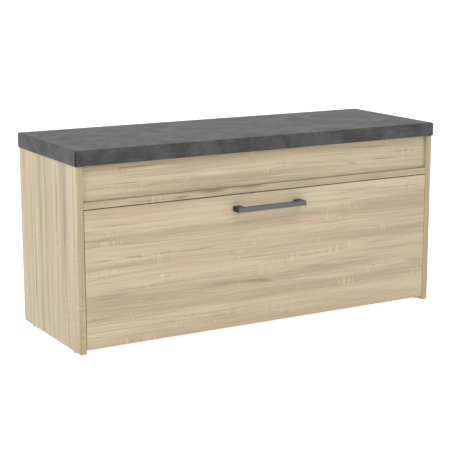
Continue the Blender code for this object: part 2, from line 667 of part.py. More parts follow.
def make_cheek(name, side, plastic, group):
    """A side cheek: a plate with a round rear edge about the pivot, a front flange and a stop slot."""
    front = FIT - PIVOT_BEHIND_FLAP
    top_angle = math.acos(front / CHEEK_RADIUS)
    low_angle = -math.asin(CHEEK_BELOW_PIVOT / CHEEK_RADIUS)
    outline = [(front, -CHEEK_BELOW_PIVOT)] + arc_points((0, 0), CHEEK_RADIUS, low_angle, top_angle, 36)
    x = side * (CHEEK_OUTER_X - CHEEK / 2)
    middle = Vector((x, PIVOT_AXIS.y, PIVOT_AXIS.z))
    cheek = add(name, plate_mesh(name, outline, CHEEK), plastic, group, middle, ALONG_X)

    height = CHEEK_RADIUS * math.sin(top_angle) + CHEEK_BELOW_PIVOT - 2 * CHEEK
    flange_x = side * (CHEEK_OUTER_X - CHEEK_FLANGE / 2)
    flange_y = PIVOT_AXIS.y + front + CHEEK / 2
    flange_z = PIVOT_AXIS.z - CHEEK_BELOW_PIVOT + CHEEK + height / 2
    flange = box_mesh("flange", (CHEEK_FLANGE - 2 * FIT, CHEEK - FIT, height))
    change_by(cheek, flange, (flange_x, flange_y, flange_z), operation="UNION")

    start = middle - Vector((CHEEK, 0, 0))
    drill(cheek, PIVOT_RADIUS + RUNNING_FIT, 2 * CHEEK, start, ALONG_X, ROUND_SIDES)
    half_width = PIVOT_RADIUS + FIT
    first = STOP_ANGLE - FLAP_OPENING - STOP_SLOT_SLACK
    last = STOP_ANGLE + STOP_SLOT_SLACK
    low_end = (STOP_RADIUS * math.cos(first), STOP_RADIUS * math.sin(first))
    high_end = (STOP_RADIUS * math.cos(last), STOP_RADIUS * math.sin(last))
    slot = arc_points((0, 0), STOP_RADIUS + half_width, first, last, 16)
    slot += arc_points(high_end, half_width, last, last + math.pi, 8)[1:-1]
    slot += arc_points((0, 0), STOP_RADIUS - half_width, last, first, 16)
    slot += arc_points(low_end, half_width, first + math.pi, first + 2 * math.pi, 8)[1:-1]
    change_by(cheek, plate_mesh("stop_slot", slot, 2 * CHEEK), middle, ALONG_X)


def make_flap_pins(boards, steel, group):
    """The pivot pins and the stop pins, held in the side panels."""
    stop = Vector((0, math.cos(STOP_ANGLE), math.sin(STOP_ANGLE))) * STOP_RADIUS
    places = {"pivot": PIVOT_AXIS, "stop": PIVOT_AXIS + stop}
    inward_reach = CHEEK_SIDE_GAP + CHEEK - 2 * RUNNING_FIT
    profile = rod_profile(PIVOT_RADIUS, inward_reach + PIN_DEPTH_IN_PANEL, -inward_reach)
    for side, word in ((LEFT, "left"), (RIGHT, "right")):
        outward = ALONG_X if side == RIGHT else ALONG_MINUS_X
        for use, place in places.items():
            face = (side * INNER_X, place.y, place.z)
            depth = PIN_DEPTH_IN_PANEL + FIT
            drill(boards[word], PIVOT_RADIUS + RUNNING_FIT, depth, face, outward, ROUND_SIDES)
            name = f"flap_{use}_pin_{word}"
            add(name, turned_mesh(name, profile, ROUND_SIDES), steel, group, face, outward)


def make_tray(oak, group):
    """The shoe tray between the cheeks: a floor, a back and one shelf."""
    half = TRAY_WIDTH / 2
    near = FLAP_BACK_Y + FIT
    flange_clear = near + CHEEK + FIT
    far = near + TRAY_DEPTH
    floor_top = PIVOT_AXIS.z - TRAY_FLOOR_BELOW_PIVOT
    shelf_bottom = PIVOT_AXIS.z + TRAY_SHELF_ABOVE_PIVOT
    board("tray_floor", (-half, flange_clear, floor_top - TRAY_BOARD), (half, far, floor_top), oak, group)
    back_low = (-half, far - TRAY_BOARD, floor_top + FIT)
    board("tray_back", back_low, (half, far, floor_top + TRAY_BACK_HEIGHT), oak, group)
    shelf_high = (half, near + TRAY_SHELF_DEPTH, shelf_bottom + TRAY_BOARD)
    board("tray_shelf", (-half, flange_clear, shelf_bottom), shelf_high, oak, group)


# ---- the bench ----------------------------------------------------------------------------------
def main():
    for old in list(bpy.data.objects):
        bpy.data.objects.remove(old, do_unlink=True)

    oak = material("oak_board", (0.59, 0.49, 0.33), 0.55)
    back_finish = material("back_board", (0.55, 0.42, 0.27), 0.7)
    grey_cover = material("grey_cover", (0.16, 0.16, 0.165), 0.9)
    foam = material("foam", (0.72, 0.66, 0.45), 0.95)
    dark_metal = material("dark_metal", (0.12, 0.12, 0.13), 0.4, 0.9)
    steel = material("zinc_steel", (0.6, 0.6, 0.6), 0.35, 1.0)
    grey_plastic = material("grey_plastic", (0.25, 0.25, 0.26), 0.5)
    clear_plastic = material("clear_plastic", (0.75, 0.75, 0.72), 0.3)
    beech = material("beech_dowel", (0.62, 0.47, 0.28), 0.7)

    carcass = empty("carcass", (0, 0, 0))
    seat_lid = empty("seat_lid", HINGE_AXIS)
    flap = empty("flap", PIVOT_AXIS)
    stay_arm_group = empty("stay_arm_pivot", STAY_PIVOT)
    stay_link_group = empty("stay_link_pivot", STAY_LID_PIVOT)

    boards = make_carcass(oak, back_finish, carcass)
    make_glides(boards, grey_plastic, carcass)
    make_bumpers(clear_plastic, carcass)
    make_cams(boards, steel, carcass)
    make_dowels(boards, beech, carcass)
    make_flap_pins(boards, steel, carcass)

    make_seat(grey_cover, foam, oak, seat_lid)
    for side, word in ((LEFT, "left"), (RIGHT, "right")):
        make_hinge(word, side, steel, carcass, seat_lid)
    make_stay(steel, carcass, seat_lid, stay_arm_group, stay_link_group)

    flap_front = make_flap_front(oak, flap)
    make_handle(flap_front, dark_metal, steel, flap)
    make_cheek("flap_cheek_left", LEFT, grey_plastic, flap)
    make_cheek("flap_cheek_right", RIGHT, grey_plastic, flap)
    make_tray(oak, flap)


if __name__ == "__main__":
    main()
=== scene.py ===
"""Dresses an entryway bench: sawn oak boards, a cloth-covered seat, a handle and small fittings.

Sizes are in metres, and the bench stands on z = 0 with its front towards -Y.
"""

import math

import bmesh
import bpy
import numpy as np
from mathutils import Matrix, Vector


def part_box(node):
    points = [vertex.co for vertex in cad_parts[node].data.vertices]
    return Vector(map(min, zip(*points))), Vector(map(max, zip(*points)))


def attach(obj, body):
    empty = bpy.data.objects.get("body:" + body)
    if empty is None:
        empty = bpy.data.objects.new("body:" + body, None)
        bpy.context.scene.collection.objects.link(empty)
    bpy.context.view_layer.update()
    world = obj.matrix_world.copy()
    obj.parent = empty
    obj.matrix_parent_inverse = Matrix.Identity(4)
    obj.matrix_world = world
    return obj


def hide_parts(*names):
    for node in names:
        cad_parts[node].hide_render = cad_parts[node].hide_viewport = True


bl_info = {
    "name": "Entryway Bench Finish",
    "version": (1, 0, 0),
    "blender": (4, 5, 0),
    "location": "3D View > Sidebar > Bench",
    "description": "Covers the seat, lays the oak grain and finishes the fittings of an entryway bench",
    "category": "Object",
}

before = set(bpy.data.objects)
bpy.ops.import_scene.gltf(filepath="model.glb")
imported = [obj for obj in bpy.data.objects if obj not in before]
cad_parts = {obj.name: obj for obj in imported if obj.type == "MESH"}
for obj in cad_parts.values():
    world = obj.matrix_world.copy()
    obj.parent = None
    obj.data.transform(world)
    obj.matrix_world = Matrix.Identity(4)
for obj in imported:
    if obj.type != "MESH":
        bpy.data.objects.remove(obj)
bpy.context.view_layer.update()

WELD = 1e-6  # points this close are one point
QUARTER_TURN = math.pi / 2
FAR = 10.0  # metres, further than any board reaches
STAY_PLATE = 0.002  # thickness of the stay's base and of its bracket on the lid
FLOOR_REACH = 40.0  # half the floor's width, enough to fill the view behind the bench
SIDES = ("left", "right")


def ends(node):
    """A frame node's lowest and highest corners, as arrays."""
    low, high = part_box(node)
    return np.array(low), np.array(high)


FRONT_Y = ends("left_side_panel")[0][1]
HANDLE_FACE_Y = ends("flap_handle")[0][1]


# ---- surfaces -----------------------------------------------------------------------------------
def woven(rows, columns, round_rows=False, round_columns=False):
    """The quads between the points of a rows by columns grid, joined up where a direction runs round."""
    row, column = np.meshgrid(
        np.arange(rows if round_rows else rows - 1),
        np.arange(columns if round_columns else columns - 1),
        indexing="ij",
    )
    row, column = row.ravel(), column.ravel()
    next_row, next_column = (row + 1) % rows, (column + 1) % columns
    return np.stack(
        [
            row * columns + column,
            row * columns + next_column,
            next_row * columns + next_column,
            next_row * columns + column,
        ],
        axis=1,
    )


def repeated(points, faces, turns, places):
    """One shape set down many times: each copy is its turn (3 x 3) times the points, plus its place."""
    turns, places = np.asarray(turns, float), np.asarray(places, float)
    spread = np.einsum("nij,pj->npi", turns, points) + places[:, None, :]
    steps = np.arange(len(places))[:, None, None] * len(points)
    return spread.reshape(-1, 3), (faces[None] + steps).reshape(-1, faces.shape[1])


def facing(direction, spin=0.0):
    """A turn that carries +Z to the direction, after a spin about +Z. Its columns are the new axes."""
    out = np.asarray(direction, float)
    out = out / np.linalg.norm(out)
    helper = np.array([1.0, 0.0, 0.0]) if abs(out[0]) < 0.5 else np.array([0.0, 1.0, 0.0])
    across = np.cross(helper, out)
    across = across / np.linalg.norm(across)
    turned = math.cos(spin) * np.cross(out, across) + math.sin(spin) * across
    return np.stack([turned, np.cross(out, turned), out], axis=1)


def put_in_scene(name, data):
    """A new object in the scene, at the origin."""
    made = bpy.data.objects.new(name, data)
    bpy.context.scene.collection.objects.link(made)
    return made


def closed_piece(name, points, faces, body, finish, sharp=40.0, values=None):
    """Makes a closed surface a piece on a body: its seams and poles are welded and its faces turned out."""
    mesh = bpy.data.meshes.new(name)
    mesh.from_pydata(points.tolist(), [], faces.tolist())
    for label, numbers in (values or {}).items():
        attribute = mesh.attributes.new(label, "FLOAT", "POINT")
        attribute.data.foreach_set("value", np.asarray(numbers, np.float32).ravel())
    shell = bmesh.new()
    shell.from_mesh(mesh)
    bmesh.ops.remove_doubles(shell, verts=shell.verts[:], dist=WELD)
    bmesh.ops.recalc_face_normals(shell, faces=shell.faces[:])
    shell.to_mesh(mesh)
    shell.free()
    mesh.polygons.foreach_set("use_smooth", np.ones(len(mesh.polygons), bool))
    mesh.set_sharp_from_angle(angle=math.radians(sharp))
    mesh.materials.append(finish)
    piece = put_in_scene(name, mesh)
    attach(piece, body)
    return piece


def turned_dome(radius, height, around, rings, recess=0.0, bite=0.0):
    """A round head on z = 0: its height falls from the middle as a circle's arc does, less a cross recess.

    The grid runs from the top's middle out to the rim, down to z = -bite and back in underneath.
    """
    share = np.sin(np.linspace(0, QUARTER_TURN, rings))
    angle = np.linspace(0, 2 * math.pi, around, endpoint=False)
    flat = radius * share[:, None]
    x, y = flat * np.cos(angle), flat * np.sin(angle)
    z = height * np.sqrt(1 - (0.97 * share[:, None]) ** 2) + 0 * angle
    arm, reach = 0.14 * radius, 0.62 * radius
    near, far = np.minimum(abs(x), abs(y)), np.maximum(abs(x), abs(y))
    in_cross = np.clip((arm - near) / (0.5 * arm) + 0.5, 0, 1)
    z = z - recess * in_cross * np.clip((reach - far) / arm, 0, 1)
    rim = np.stack([x[-1], y[-1], np.full(around, -bite)], axis=1)
    axis = np.tile([0.0, 0.0, -bite], (around, 1))
    points = np.concatenate([np.stack([x, y, z], axis=2).reshape(-1, 3), rim, axis])
    return points, woven(rings + 2, around, round_columns=True)


def wire(path, radius, sides=6):
    """A round wire along a path in the x-z plane: each ring is the radius turned about the path's point."""
    path = np.asarray(path, float)
    run = np.gradient(path, axis=0)
    run = run / np.linalg.norm(run, axis=1)[:, None]
    normal = np.stack([-run[:, 2], 0 * run[:, 0], run[:, 0]], axis=1)
    angle = np.linspace(0, 2 * math.pi, sides, endpoint=False)
    ring = normal[:, None] * np.cos(angle)[None, :, None]
    ring = ring + np.array([0.0, 1.0, 0.0]) * np.sin(angle)[None, :, None]
    tube = path[:, None] + radius * ring
    caps = np.repeat(path[[0, -1]][:, None], sides, axis=1)
    points = np.concatenate([caps[:1], tube, caps[1:]]).reshape(-1, 3)
    return points, woven(len(path) + 2, sides, round_columns=True)


# ---- shader building ----------------------------------------------------------------------------
def feed(tree, socket, value):
    """Links a socket to another, or sets its number."""
    if isinstance(value, bpy.types.NodeSocket):
        tree.links.new(value, socket)
    else:
        socket.default_value = value


def give(tree, sockets, **values):
    """Feeds the sockets of these names, in which an underscore is a space."""
    for name, value in values.items():
        feed(tree, sockets[name.replace("_", " ")], value)


def put(tree, kind, inputs=(), **settings):
    """Adds a node, with its settings, and feeds its inputs, given by name or by number."""
    made = tree.nodes.new("ShaderNode" + kind)
    for name, value in settings.items():
        setattr(made, name, value)
    for socket, value in dict(inputs).items():
        feed(tree, made.inputs[socket], value)
    return made


def maths(tree, operation, first, second=0.5, third=0.5):
    return put(tree, "Math", {0: first, 1: second, 2: third}, operation=operation).outputs[0]


def product(tree, first, *others):
    for other in others:
        first = maths(tree, "MULTIPLY", first, other)
    return first


def weighed(tree, value, weight, base):
    """The value times its weight, plus the base."""
    return maths(tree, "MULTIPLY_ADD", value, weight, base)


def vectors(tree, operation, first, second=(0.0, 0.0, 0.0)):
    return put(tree, "VectorMath", {0: first, 1: second}, operation=operation).outputs[0]


def eased(tree, value, start, stop, low=0.0, high=1.0):
    """The value brought from start..stop to low..high, with soft ends."""
    inputs = {"Value": value, "From Min": start, "From Max": stop, "To Min": low, "To Max": high}
    return put(tree, "MapRange", inputs, interpolation_type="SMOOTHSTEP").outputs[0]


def mottle(tree, place, per_metre, detail=2.0, roughness=0.5, distortion=0.0):
    """Soft noise, with its own count of features a metre along each axis."""
    spread = vectors(tree, "MULTIPLY", place, per_metre)
    inputs = {"Vector": spread, "Scale": 1.0, "Detail": detail, "Roughness": roughness}
    inputs["Distortion"] = distortion
    return put(tree, "TexNoise", inputs).outputs[0]


def clamped(tree, value):
    return put(tree, "Clamp", {0: value}).outputs[0]


def scaled(tree, place, factor):
    return put(tree, "VectorMath", {0: place, 3: factor}, operation="SCALE").outputs[0]


def mixed(tree, share, first, second, blend="MIX"):
    """The first colour with a share of the second mixed in."""
    made = put(tree, "Mix", {0: share, 6: first, 7: second}, data_type="RGBA", blend_type=blend)
    return made.outputs[2]


def shaded(tree, shade, lift):
    """A colour made lighter or darker by a factor."""
    grey = put(tree, "CombineColor", {0: lift, 1: lift, 2: lift}).outputs[0]
    return mixed(tree, 1.0, shade, grey, "MULTIPLY")


SURFACE = {"Color": "Color", "Roughness": "Float", "Height": "Float"}


def new_group(name, places="", colours="", numbers="", gives=SURFACE):
    """An empty node group. Its inputs are listed by kind, and its outputs are given as names and kinds."""
    tree = bpy.data.node_groups.new(name, "ShaderNodeTree")
    for kind, labels in (("Vector", places), ("Color", colours), ("Float", numbers)):
        for label in filter(None, labels.split(", ")):
            tree.interface.new_socket(name=label, in_out="INPUT", socket_type=f"NodeSocket{kind}")
    for label, kind in gives.items():
        tree.interface.new_socket(name=label, in_out="OUTPUT", socket_type=f"NodeSocket{kind}")
    return tree, tree.nodes.new("NodeGroupInput").outputs, tree.nodes.new("NodeGroupOutput").inputs


def grouped(tree, name, **inputs):
    """A node group's outputs, once its inputs are fed."""
    made = put(tree, "Group", node_tree=bpy.data.node_groups[name])
    give(tree, made.inputs, **inputs)
    return made.outputs


def colour(rgb):
    return (*rgb, 1.0)


def new_finish(name, **constants):
    """A material with one Principled BSDF. Its constants are set on the shader's own sockets."""
    finish = bpy.data.materials.new(name)
    finish.use_nodes = True
    tree = finish.node_tree
    tree.nodes.clear()
    shader = put(tree, "BsdfPrincipled")
    give(tree, shader.inputs, **constants)
    give(tree, put(tree, "OutputMaterial").inputs, Surface=shader.outputs[0])
    return finish, tree, shader.inputs


def coat(tree, shader, shade, effect, relief, strength=1.0):
    """Feeds the shader a colour and an effect's roughness and height, whose full height is the relief."""
    inputs = {"Height": effect["Height"], "Distance": relief, "Strength": strength}
    normal = put(tree, "Bump", inputs).outputs[0]
    give(tree, shader, Base_Color=shade, Roughness=effect["Roughness"], Normal=normal)


# ---- shared effects -----------------------------------------------------------------------------
def make_grain_flow():
    """Where a spot lies in the tree: the grain wanders across the board in long and short waves."""
    tree, given, out = new_group("Grain flow", "Place", "", "Wander", {"Place": "Vector"})
    slow = maths(tree, "SUBTRACT", mottle(tree, given["Place"], (1.7, 6.0, 6.0), 1.0))
    quick = maths(tree, "SUBTRACT", mottle(tree, given["Place"], (6.5, 22.0, 22.0), 1.5))
    shift = product(tree, weighed(tree, quick, 0.28, slow), given["Wander"])
    offset = put(tree, "CombineXYZ", {"Y": shift}).outputs[0]
    give(tree, out, Place=vectors(tree, "ADD", given["Place"], offset))


def make_figure_mark():
    """A soft streak in the figure: 1 in its middle and 0 past its length and width, turned by its tilt."""
    places, numbers = "Place, Middle, Size, Tilt", "Strength, Before"
    tree, given, out = new_group("Figure mark", places, "", numbers, {"Mask": "Float"})
    inputs = {"Vector": given["Place"], "Location": given["Middle"], "Rotation": given["Tilt"]}
    inputs["Scale"] = given["Size"]
    local = put(tree, "Mapping", inputs, vector_type="TEXTURE").outputs[0]
    reach = put(tree, "VectorMath", {0: local}, operation="LENGTH").outputs["Value"]
    give(tree, out, Mask=weighed(tree, eased(tree, reach, 1.0, 0.15), given["Strength"], given["Before"]))


def make_sawn_oak():
    """Pale sawn oak: broad bands, narrow streaks, fibre lines and groups of saw ticks across the grain."""
    numbers = "Streaks, Figure, Glow, Combed, Saw marks"
    tree, given, out = new_group("Sawn oak", "Place, Flow", "Pale, Middle, Dark, Warm", numbers)
    place, flow = given["Place"], given["Flow"]
    bands = mottle(tree, flow, (0.9, 27.0, 27.0), 3.0, 0.55)
    streaks = mottle(tree, flow, (3.2, 165.0, 165.0), 3.0, 0.6)
    lines = mottle(tree, flow, (5.0, 340.0, 340.0), 2.0, 0.6)
    fibres = mottle(tree, flow, (11.0, 900.0, 900.0), 2.0, 0.6)
    patches = mottle(tree, place, (2.2, 13.0, 13.0), 1.0)

    level = weighed(tree, streaks, 0.35, bands)
    shade = mixed(tree, eased(tree, level, 0.56, 0.80), given["Middle"], given["Pale"])
    drawn = product(tree, eased(tree, streaks, 0.49, 0.63), eased(tree, patches, 0.36, 0.60, 0.30, 1.0))
    drawn = product(tree, drawn, given["Streaks"])
    torn = eased(tree, weighed(tree, lines, 0.5, streaks), 0.60, 0.84, 0.18, 1.0)
    depth = clamped(tree, weighed(tree, drawn, 0.5, product(tree, given["Figure"], torn)))
    shade = mixed(tree, depth, shade, given["Dark"])
    blush = eased(tree, mottle(tree, flow, (2.0, 17.0, 17.0), 1.0), 0.55, 0.72, 0.0, 0.5)
    shade = mixed(tree, clamped(tree, maths(tree, "ADD", blush, given["Glow"])), shade, given["Warm"])

    comb = mottle(tree, place, (210.0, 26.0, 26.0), 1.0)
    where = eased(tree, mottle(tree, place, (9.0, 30.0, 30.0), 1.0), 0.58, 0.68, 0.0, 0.5)
    where = clamped(tree, maths(tree, "ADD", where, given["Combed"]))
    ticks = product(tree, eased(tree, comb, 0.44, 0.58), where, given["Saw marks"])
    shade = mixed(tree, product(tree, ticks, 0.75), shade, given["Pale"])
    valleys = maths(tree, "SUBTRACT", where, ticks)
    lift = product(tree, weighed(tree, fibres, 0.16, 0.92), eased(tree, lines, 0.35, 0.65, 1.07, 0.92))
    lift = product(tree, lift, weighed(tree, ticks, 0.16, 1.0), weighed(tree, valleys, -0.06, 1.0))
    rough, height = weighed(tree, streaks, 0.22, 0.40), weighed(tree, ticks, 0.6, fibres)
    give(tree, out, Color=shaded(tree, shade, lift), Roughness=rough, Height=height)


def make_edge_strip():
    """The strip on a board's narrow faces: its own tone out to the arris, and a fine glue line inside it."""
    places, gives = "Place, Middle, Reach", {"Color": "Color"}
    tree, given, out = new_group("Edge strip", places, "Oak, Tone", "Amount", gives)
    away = vectors(tree, "ABSOLUTE", vectors(tree, "SUBTRACT", given["Place"], given["Middle"]))
    over = put(tree, "SeparateXYZ", {0: vectors(tree, "SUBTRACT", away, given["Reach"])}).outputs
    nearest = maths(tree, "MAXIMUM", maths(tree, "MAXIMUM", over[0], over[1]), over[2])
    worn = mottle(tree, given["Place"], (90.0, 90.0, 90.0), 3.0, 0.6)
    strip = product(tree, eased(tree, nearest, -0.0010, -0.0006), given["Amount"])
    strip = product(tree, strip, eased(tree, worn, 0.25, 0.55, 0.75, 1.0))
    line = product(tree, eased(tree, nearest, -0.0018, -0.0012, 0.0, 0.5), given["Amount"])
    toned = mixed(tree, 1.0, given["Oak"], given["Tone"], "MULTIPLY")
    give(tree, out, Color=mixed(tree, maths(tree, "MAXIMUM", strip, line), given["Oak"], toned))


def make_rubbed_cloth():
    """Suede-like cloth, clouded where it has been stroked: blotches, finer smudges and a short nap. Along
    the folds its colour is darkened as painted shade.
    """
    tree, given, out = new_group("Rubbed cloth", "Place", "Deep, Light", "Blotches, Fold")
    spread = scaled(tree, given["Place"], given["Blotches"])
    clouds = mottle(tree, spread, (1.0, 1.0, 1.0), 4.0, 0.55, 0.6)
    smudges = mottle(tree, spread, (5.0, 5.0, 6.5), 3.0, 0.6)
    strokes = mottle(tree, spread, (1.6, 12.0, 12.0), 2.0, 0.5, 0.4)
    nap = mottle(tree, given["Place"], (1500.0, 1500.0, 1500.0), 2.0, 0.7)
    both = weighed(tree, strokes, 0.22, weighed(tree, smudges, 0.35, clouds))
    shade = mixed(tree, eased(tree, both, 0.58, 1.00), given["Deep"], given["Light"])
    # Painted shade: where the fold mask is full, the colour falls to about a fifth, standing in for the
    # shade in the seam's groove.
    lift = product(tree, weighed(tree, nap, 0.22, 0.89), eased(tree, given["Fold"], 0.0, 0.9, 1.0, 0.22))
    rough, height = eased(tree, both, 0.5, 1.1, 0.86, 0.66), weighed(tree, smudges, 0.8, nap)
    give(tree, out, Color=shaded(tree, shade, lift), Roughness=rough, Height=height)


def make_drawn_metal():
    """Fine lines that drawing and brushing leave along metal, with faint smudges."""
    tree, given, out = new_group("Drawn metal", "Place", "Tone", "Polish")
    lines = mottle(tree, given["Place"], (30.0, 2600.0, 2600.0), 2.0)
    smudge = mottle(tree, given["Place"], (60.0, 60.0, 60.0), 3.0, 0.6)
    shade = shaded(tree, given["Tone"], weighed(tree, smudge, 0.16, 0.92))
    spread = weighed(tree, lines, 0.12, product(tree, smudge, 0.14))
    rough = maths(tree, "ADD", spread, maths(tree, "SUBTRACT", given["Polish"], 0.13))
    give(tree, out, Color=shade, Roughness=rough, Height=lines)


def make_fine_pits():
    """The small even pits of moulded plastic, pressed board or wood, with a mottled tone."""
    tree, given, out = new_group("Fine pits", "Place", "Tone, Fleck", "Per metre, Flecks")
    pits = mottle(tree, scaled(tree, given["Place"], given["Per metre"]), (1.0, 1.0, 1.0), 2.0, 0.6)
    cloud = mottle(tree, given["Place"], (35.0, 35.0, 35.0), 3.0)
    share = product(tree, eased(tree, pits, 0.45, 0.68), given["Flecks"])
    shade = mixed(tree, share, given["Tone"], given["Fleck"])
    shade = shaded(tree, shade, weighed(tree, cloud, 0.14, 0.93))
    give(tree, out, Color=shade, Roughness=weighed(tree, pits, 0.25, 0.40), Height=pits)


def place_of(tree, shift=(0.0, 0.0, 0.0), turn=(0.0, 0.0, 0.0)):
    """The piece's own coordinates, turned and then moved."""
    own = put(tree, "TexCoord").outputs["Object"]
    return put(tree, "Mapping", {"Vector": own, "Location": shift, "Rotation": turn}).outputs[0]


# ---- settings -----------------------------------------------------------------------------------
TONE = {"subtype": "COLOR", "min": 0.0, "max": 1.0}
LENGTH = {"subtype": "DISTANCE", "unit": "LENGTH", "min": 0.0}
PLACE = {"subtype": "TRANSLATION", "unit": "LENGTH"}
ANGLE = {"subtype": "ANGLE"}
SHARE = {"subtype": "FACTOR", "min": 0.0, "max": 1.0}
NUMBER = {"min": 0.0}


def setting(kind, name, description, default):
    """A number, or three numbers where the default has three."""
    made = bpy.props.FloatVectorProperty if isinstance(default, tuple) else bpy.props.FloatProperty
    return made(name=name, description=description, default=default, **kind)


class OakSettings(bpy.types.PropertyGroup):
    """The boards' sawn oak."""

    pale: setting(TONE, "Pale", "Oak colour in the light bands", (0.440, 0.361, 0.238))
    middle: setting(TONE, "Middle", "Oak colour between the light bands", (0.350, 0.282, 0.177))
    dark: setting(TONE, "Dark", "Oak colour in the dark streaks", (0.203, 0.149, 0.086))
    warm: setting(TONE, "Warm", "Oak colour in the pinkish zones", (0.428, 0.318, 0.212))
    wander: setting(LENGTH, "Wander", "How far the grain drifts across a board", 0.014)
    strip: setting(TONE, "Edge strip", "Tone of a board's narrow faces, over its oak", (0.89, 0.87, 0.79))
    saw_marks: setting(SHARE, "Saw marks", "How plain the ticks across the grain are", 0.8)
    relief: setting(LENGTH, "Relief", "Depth of the pressed grain", 0.00012)


class CoverSettings(bpy.types.PropertyGroup):
    """The seat's cloth cover: its tones and its shape."""

    deep: setting(TONE, "Deep", "Cloth colour in the darker clouds", (0.030, 0.030, 0.0302))
    light: setting(TONE, "Light", "Cloth colour where it is rubbed", (0.0565, 0.0562, 0.0560))
    blotches: setting(NUMBER, "Blotches", "Clouds a metre in the cloth", 17.0)
    edge: setting(LENGTH, "Edge", "Rounding of the top edge", 0.0040)
    corner: setting(LENGTH, "Corner", "Rounding of the upright corners", 0.0060)
    crown: setting(LENGTH, "Crown", "How much higher the middle stands than the edge", 0.0008)
    fold: setting(LENGTH, "Fold", "Depth of the folded seam at each corner", 0.0012)
    lean: setting(LENGTH, "Lean", "How much fuller the seat is at its left end than at its right", 0.0026)
    roll: setting(LENGTH, "Roll", "How far the cloth's lower roll hangs below the seat board's hem", 0.0012)


class MetalSettings(bpy.types.PropertyGroup):
    """The handle and the zinc-plated fittings."""

    handle: setting(TONE, "Handle", "Colour of the handle's brushed face", (0.096, 0.098, 0.104))
    # Painted shade: the darker colour given to the handle's top, ends and back for how the light falls on
    # them.
    sides: setting(TONE, "Handle's painted shade", "Colour of its top, ends and back", (0.024, 0.020, 0.018))
    zinc: setting(TONE, "Zinc", "Colour of the plated steel", (0.600, 0.610, 0.630))
    polish: setting(SHARE, "Polish", "Roughness of the handle's coat", 0.40)


class FixingSettings(bpy.types.PropertyGroup):
    """Screws, staples and nails."""

    screw_radius: setting(LENGTH, "Screw head", "Radius of a screw's head", 0.0026)
    screw_height: setting(LENGTH, "Screw height", "How far a screw's head stands up", 0.0011)
    staple_step: setting(LENGTH, "Staple step", "Distance between the staples in the hem", 0.042)
    staple_inset: setting(LENGTH, "Staple inset", "Distance from the seat's edge to the staples", 0.021)
    nail_step: setting(LENGTH, "Nail step", "Distance between the nails in the back", 0.088)


class StageSettings(bpy.types.PropertyGroup):
    """Camera, lights and floor."""

    camera_place: setting(PLACE, "Camera", "Where the camera stands", (-1.6628, -2.8698, 0.9286))
    camera_tilt: setting(ANGLE, "Tilt", "The camera's turn up from looking down", math.radians(77.646))
    camera_turn: setting(ANGLE, "Turn", "The camera's turn about the vertical", math.radians(-30.137))
    lens: setting(NUMBER, "Lens", "Focal length in millimetres", 101.94)
    key: setting(NUMBER, "Key", "Power of the left light", 48.0)
    over: setting(NUMBER, "Over", "Power of the light overhead", 23.0)
    front: setting(NUMBER, "Front", "Power of the light in front", 10.0)
    air: setting(NUMBER, "Air", "Strength of the light all round", 0.94)
    table: setting(NUMBER, "Table", "The floor's own glow, as of a light table", 0.85)


SETTINGS = {
    "bench_oak": OakSettings,
    "bench_cover": CoverSettings,
    "bench_metal": MetalSettings,
    "bench_fixings": FixingSettings,
    "bench_stage": StageSettings,
}


# ---- oak boards ---------------------------------------------------------------------------------
ALONG_FRONT = (-QUARTER_TURN, 0.0, 0.0)  # grain along X, and bands one above the other
UPRIGHT = (0.0, QUARTER_TURN, 0.0)  # grain along Z, and bands side by side
LYING = (0.0, 0.0, 0.0)  # grain along X on a flat board
MARK_DEPTH = 0.030  # how far behind the front face the figure of a front board fades out

# A board's grain direction, the place in the tree that it was cut from, the strength of its streaks and how
# plain its edge strip is.
BOARDS = {
    "left_side_panel": (UPRIGHT, (0.37, 1.10, 0.0), 0.50, 1.0),
    "right_side_panel": (UPRIGHT, (2.21, -0.83, 0.4), 0.55, 1.0),
    "flap_front": (ALONG_FRONT, (0.0, 0.0, 0.0), 0.70, 0.6),
    "upper_front_panel": (ALONG_FRONT, (0.0, 0.0, 0.31), 0.75, 0.1),
    "compartment_floor": (LYING, (0.0, 0.0, 0.0), 0.80, 0.0),
    "bottom_panel": (LYING, (1.9, 0.63, 0.2), 0.6, 0.6),
    "rear_rail": (ALONG_FRONT, (1.4, 0.88, 0.1), 0.6, 0.6),
    "seat_board": (LYING, (3.1, 0.27, 0.6), 0.5, 0.6),
    "tray_floor": (LYING, (0.7, 2.43, 0.1), 0.6, 0.6),
    "tray_shelf": (LYING, (2.7, 1.73, 0.9), 0.6, 0.6),
    "tray_back": (ALONG_FRONT, (4.2, 1.15, 0.5), 0.6, 0.6),
}

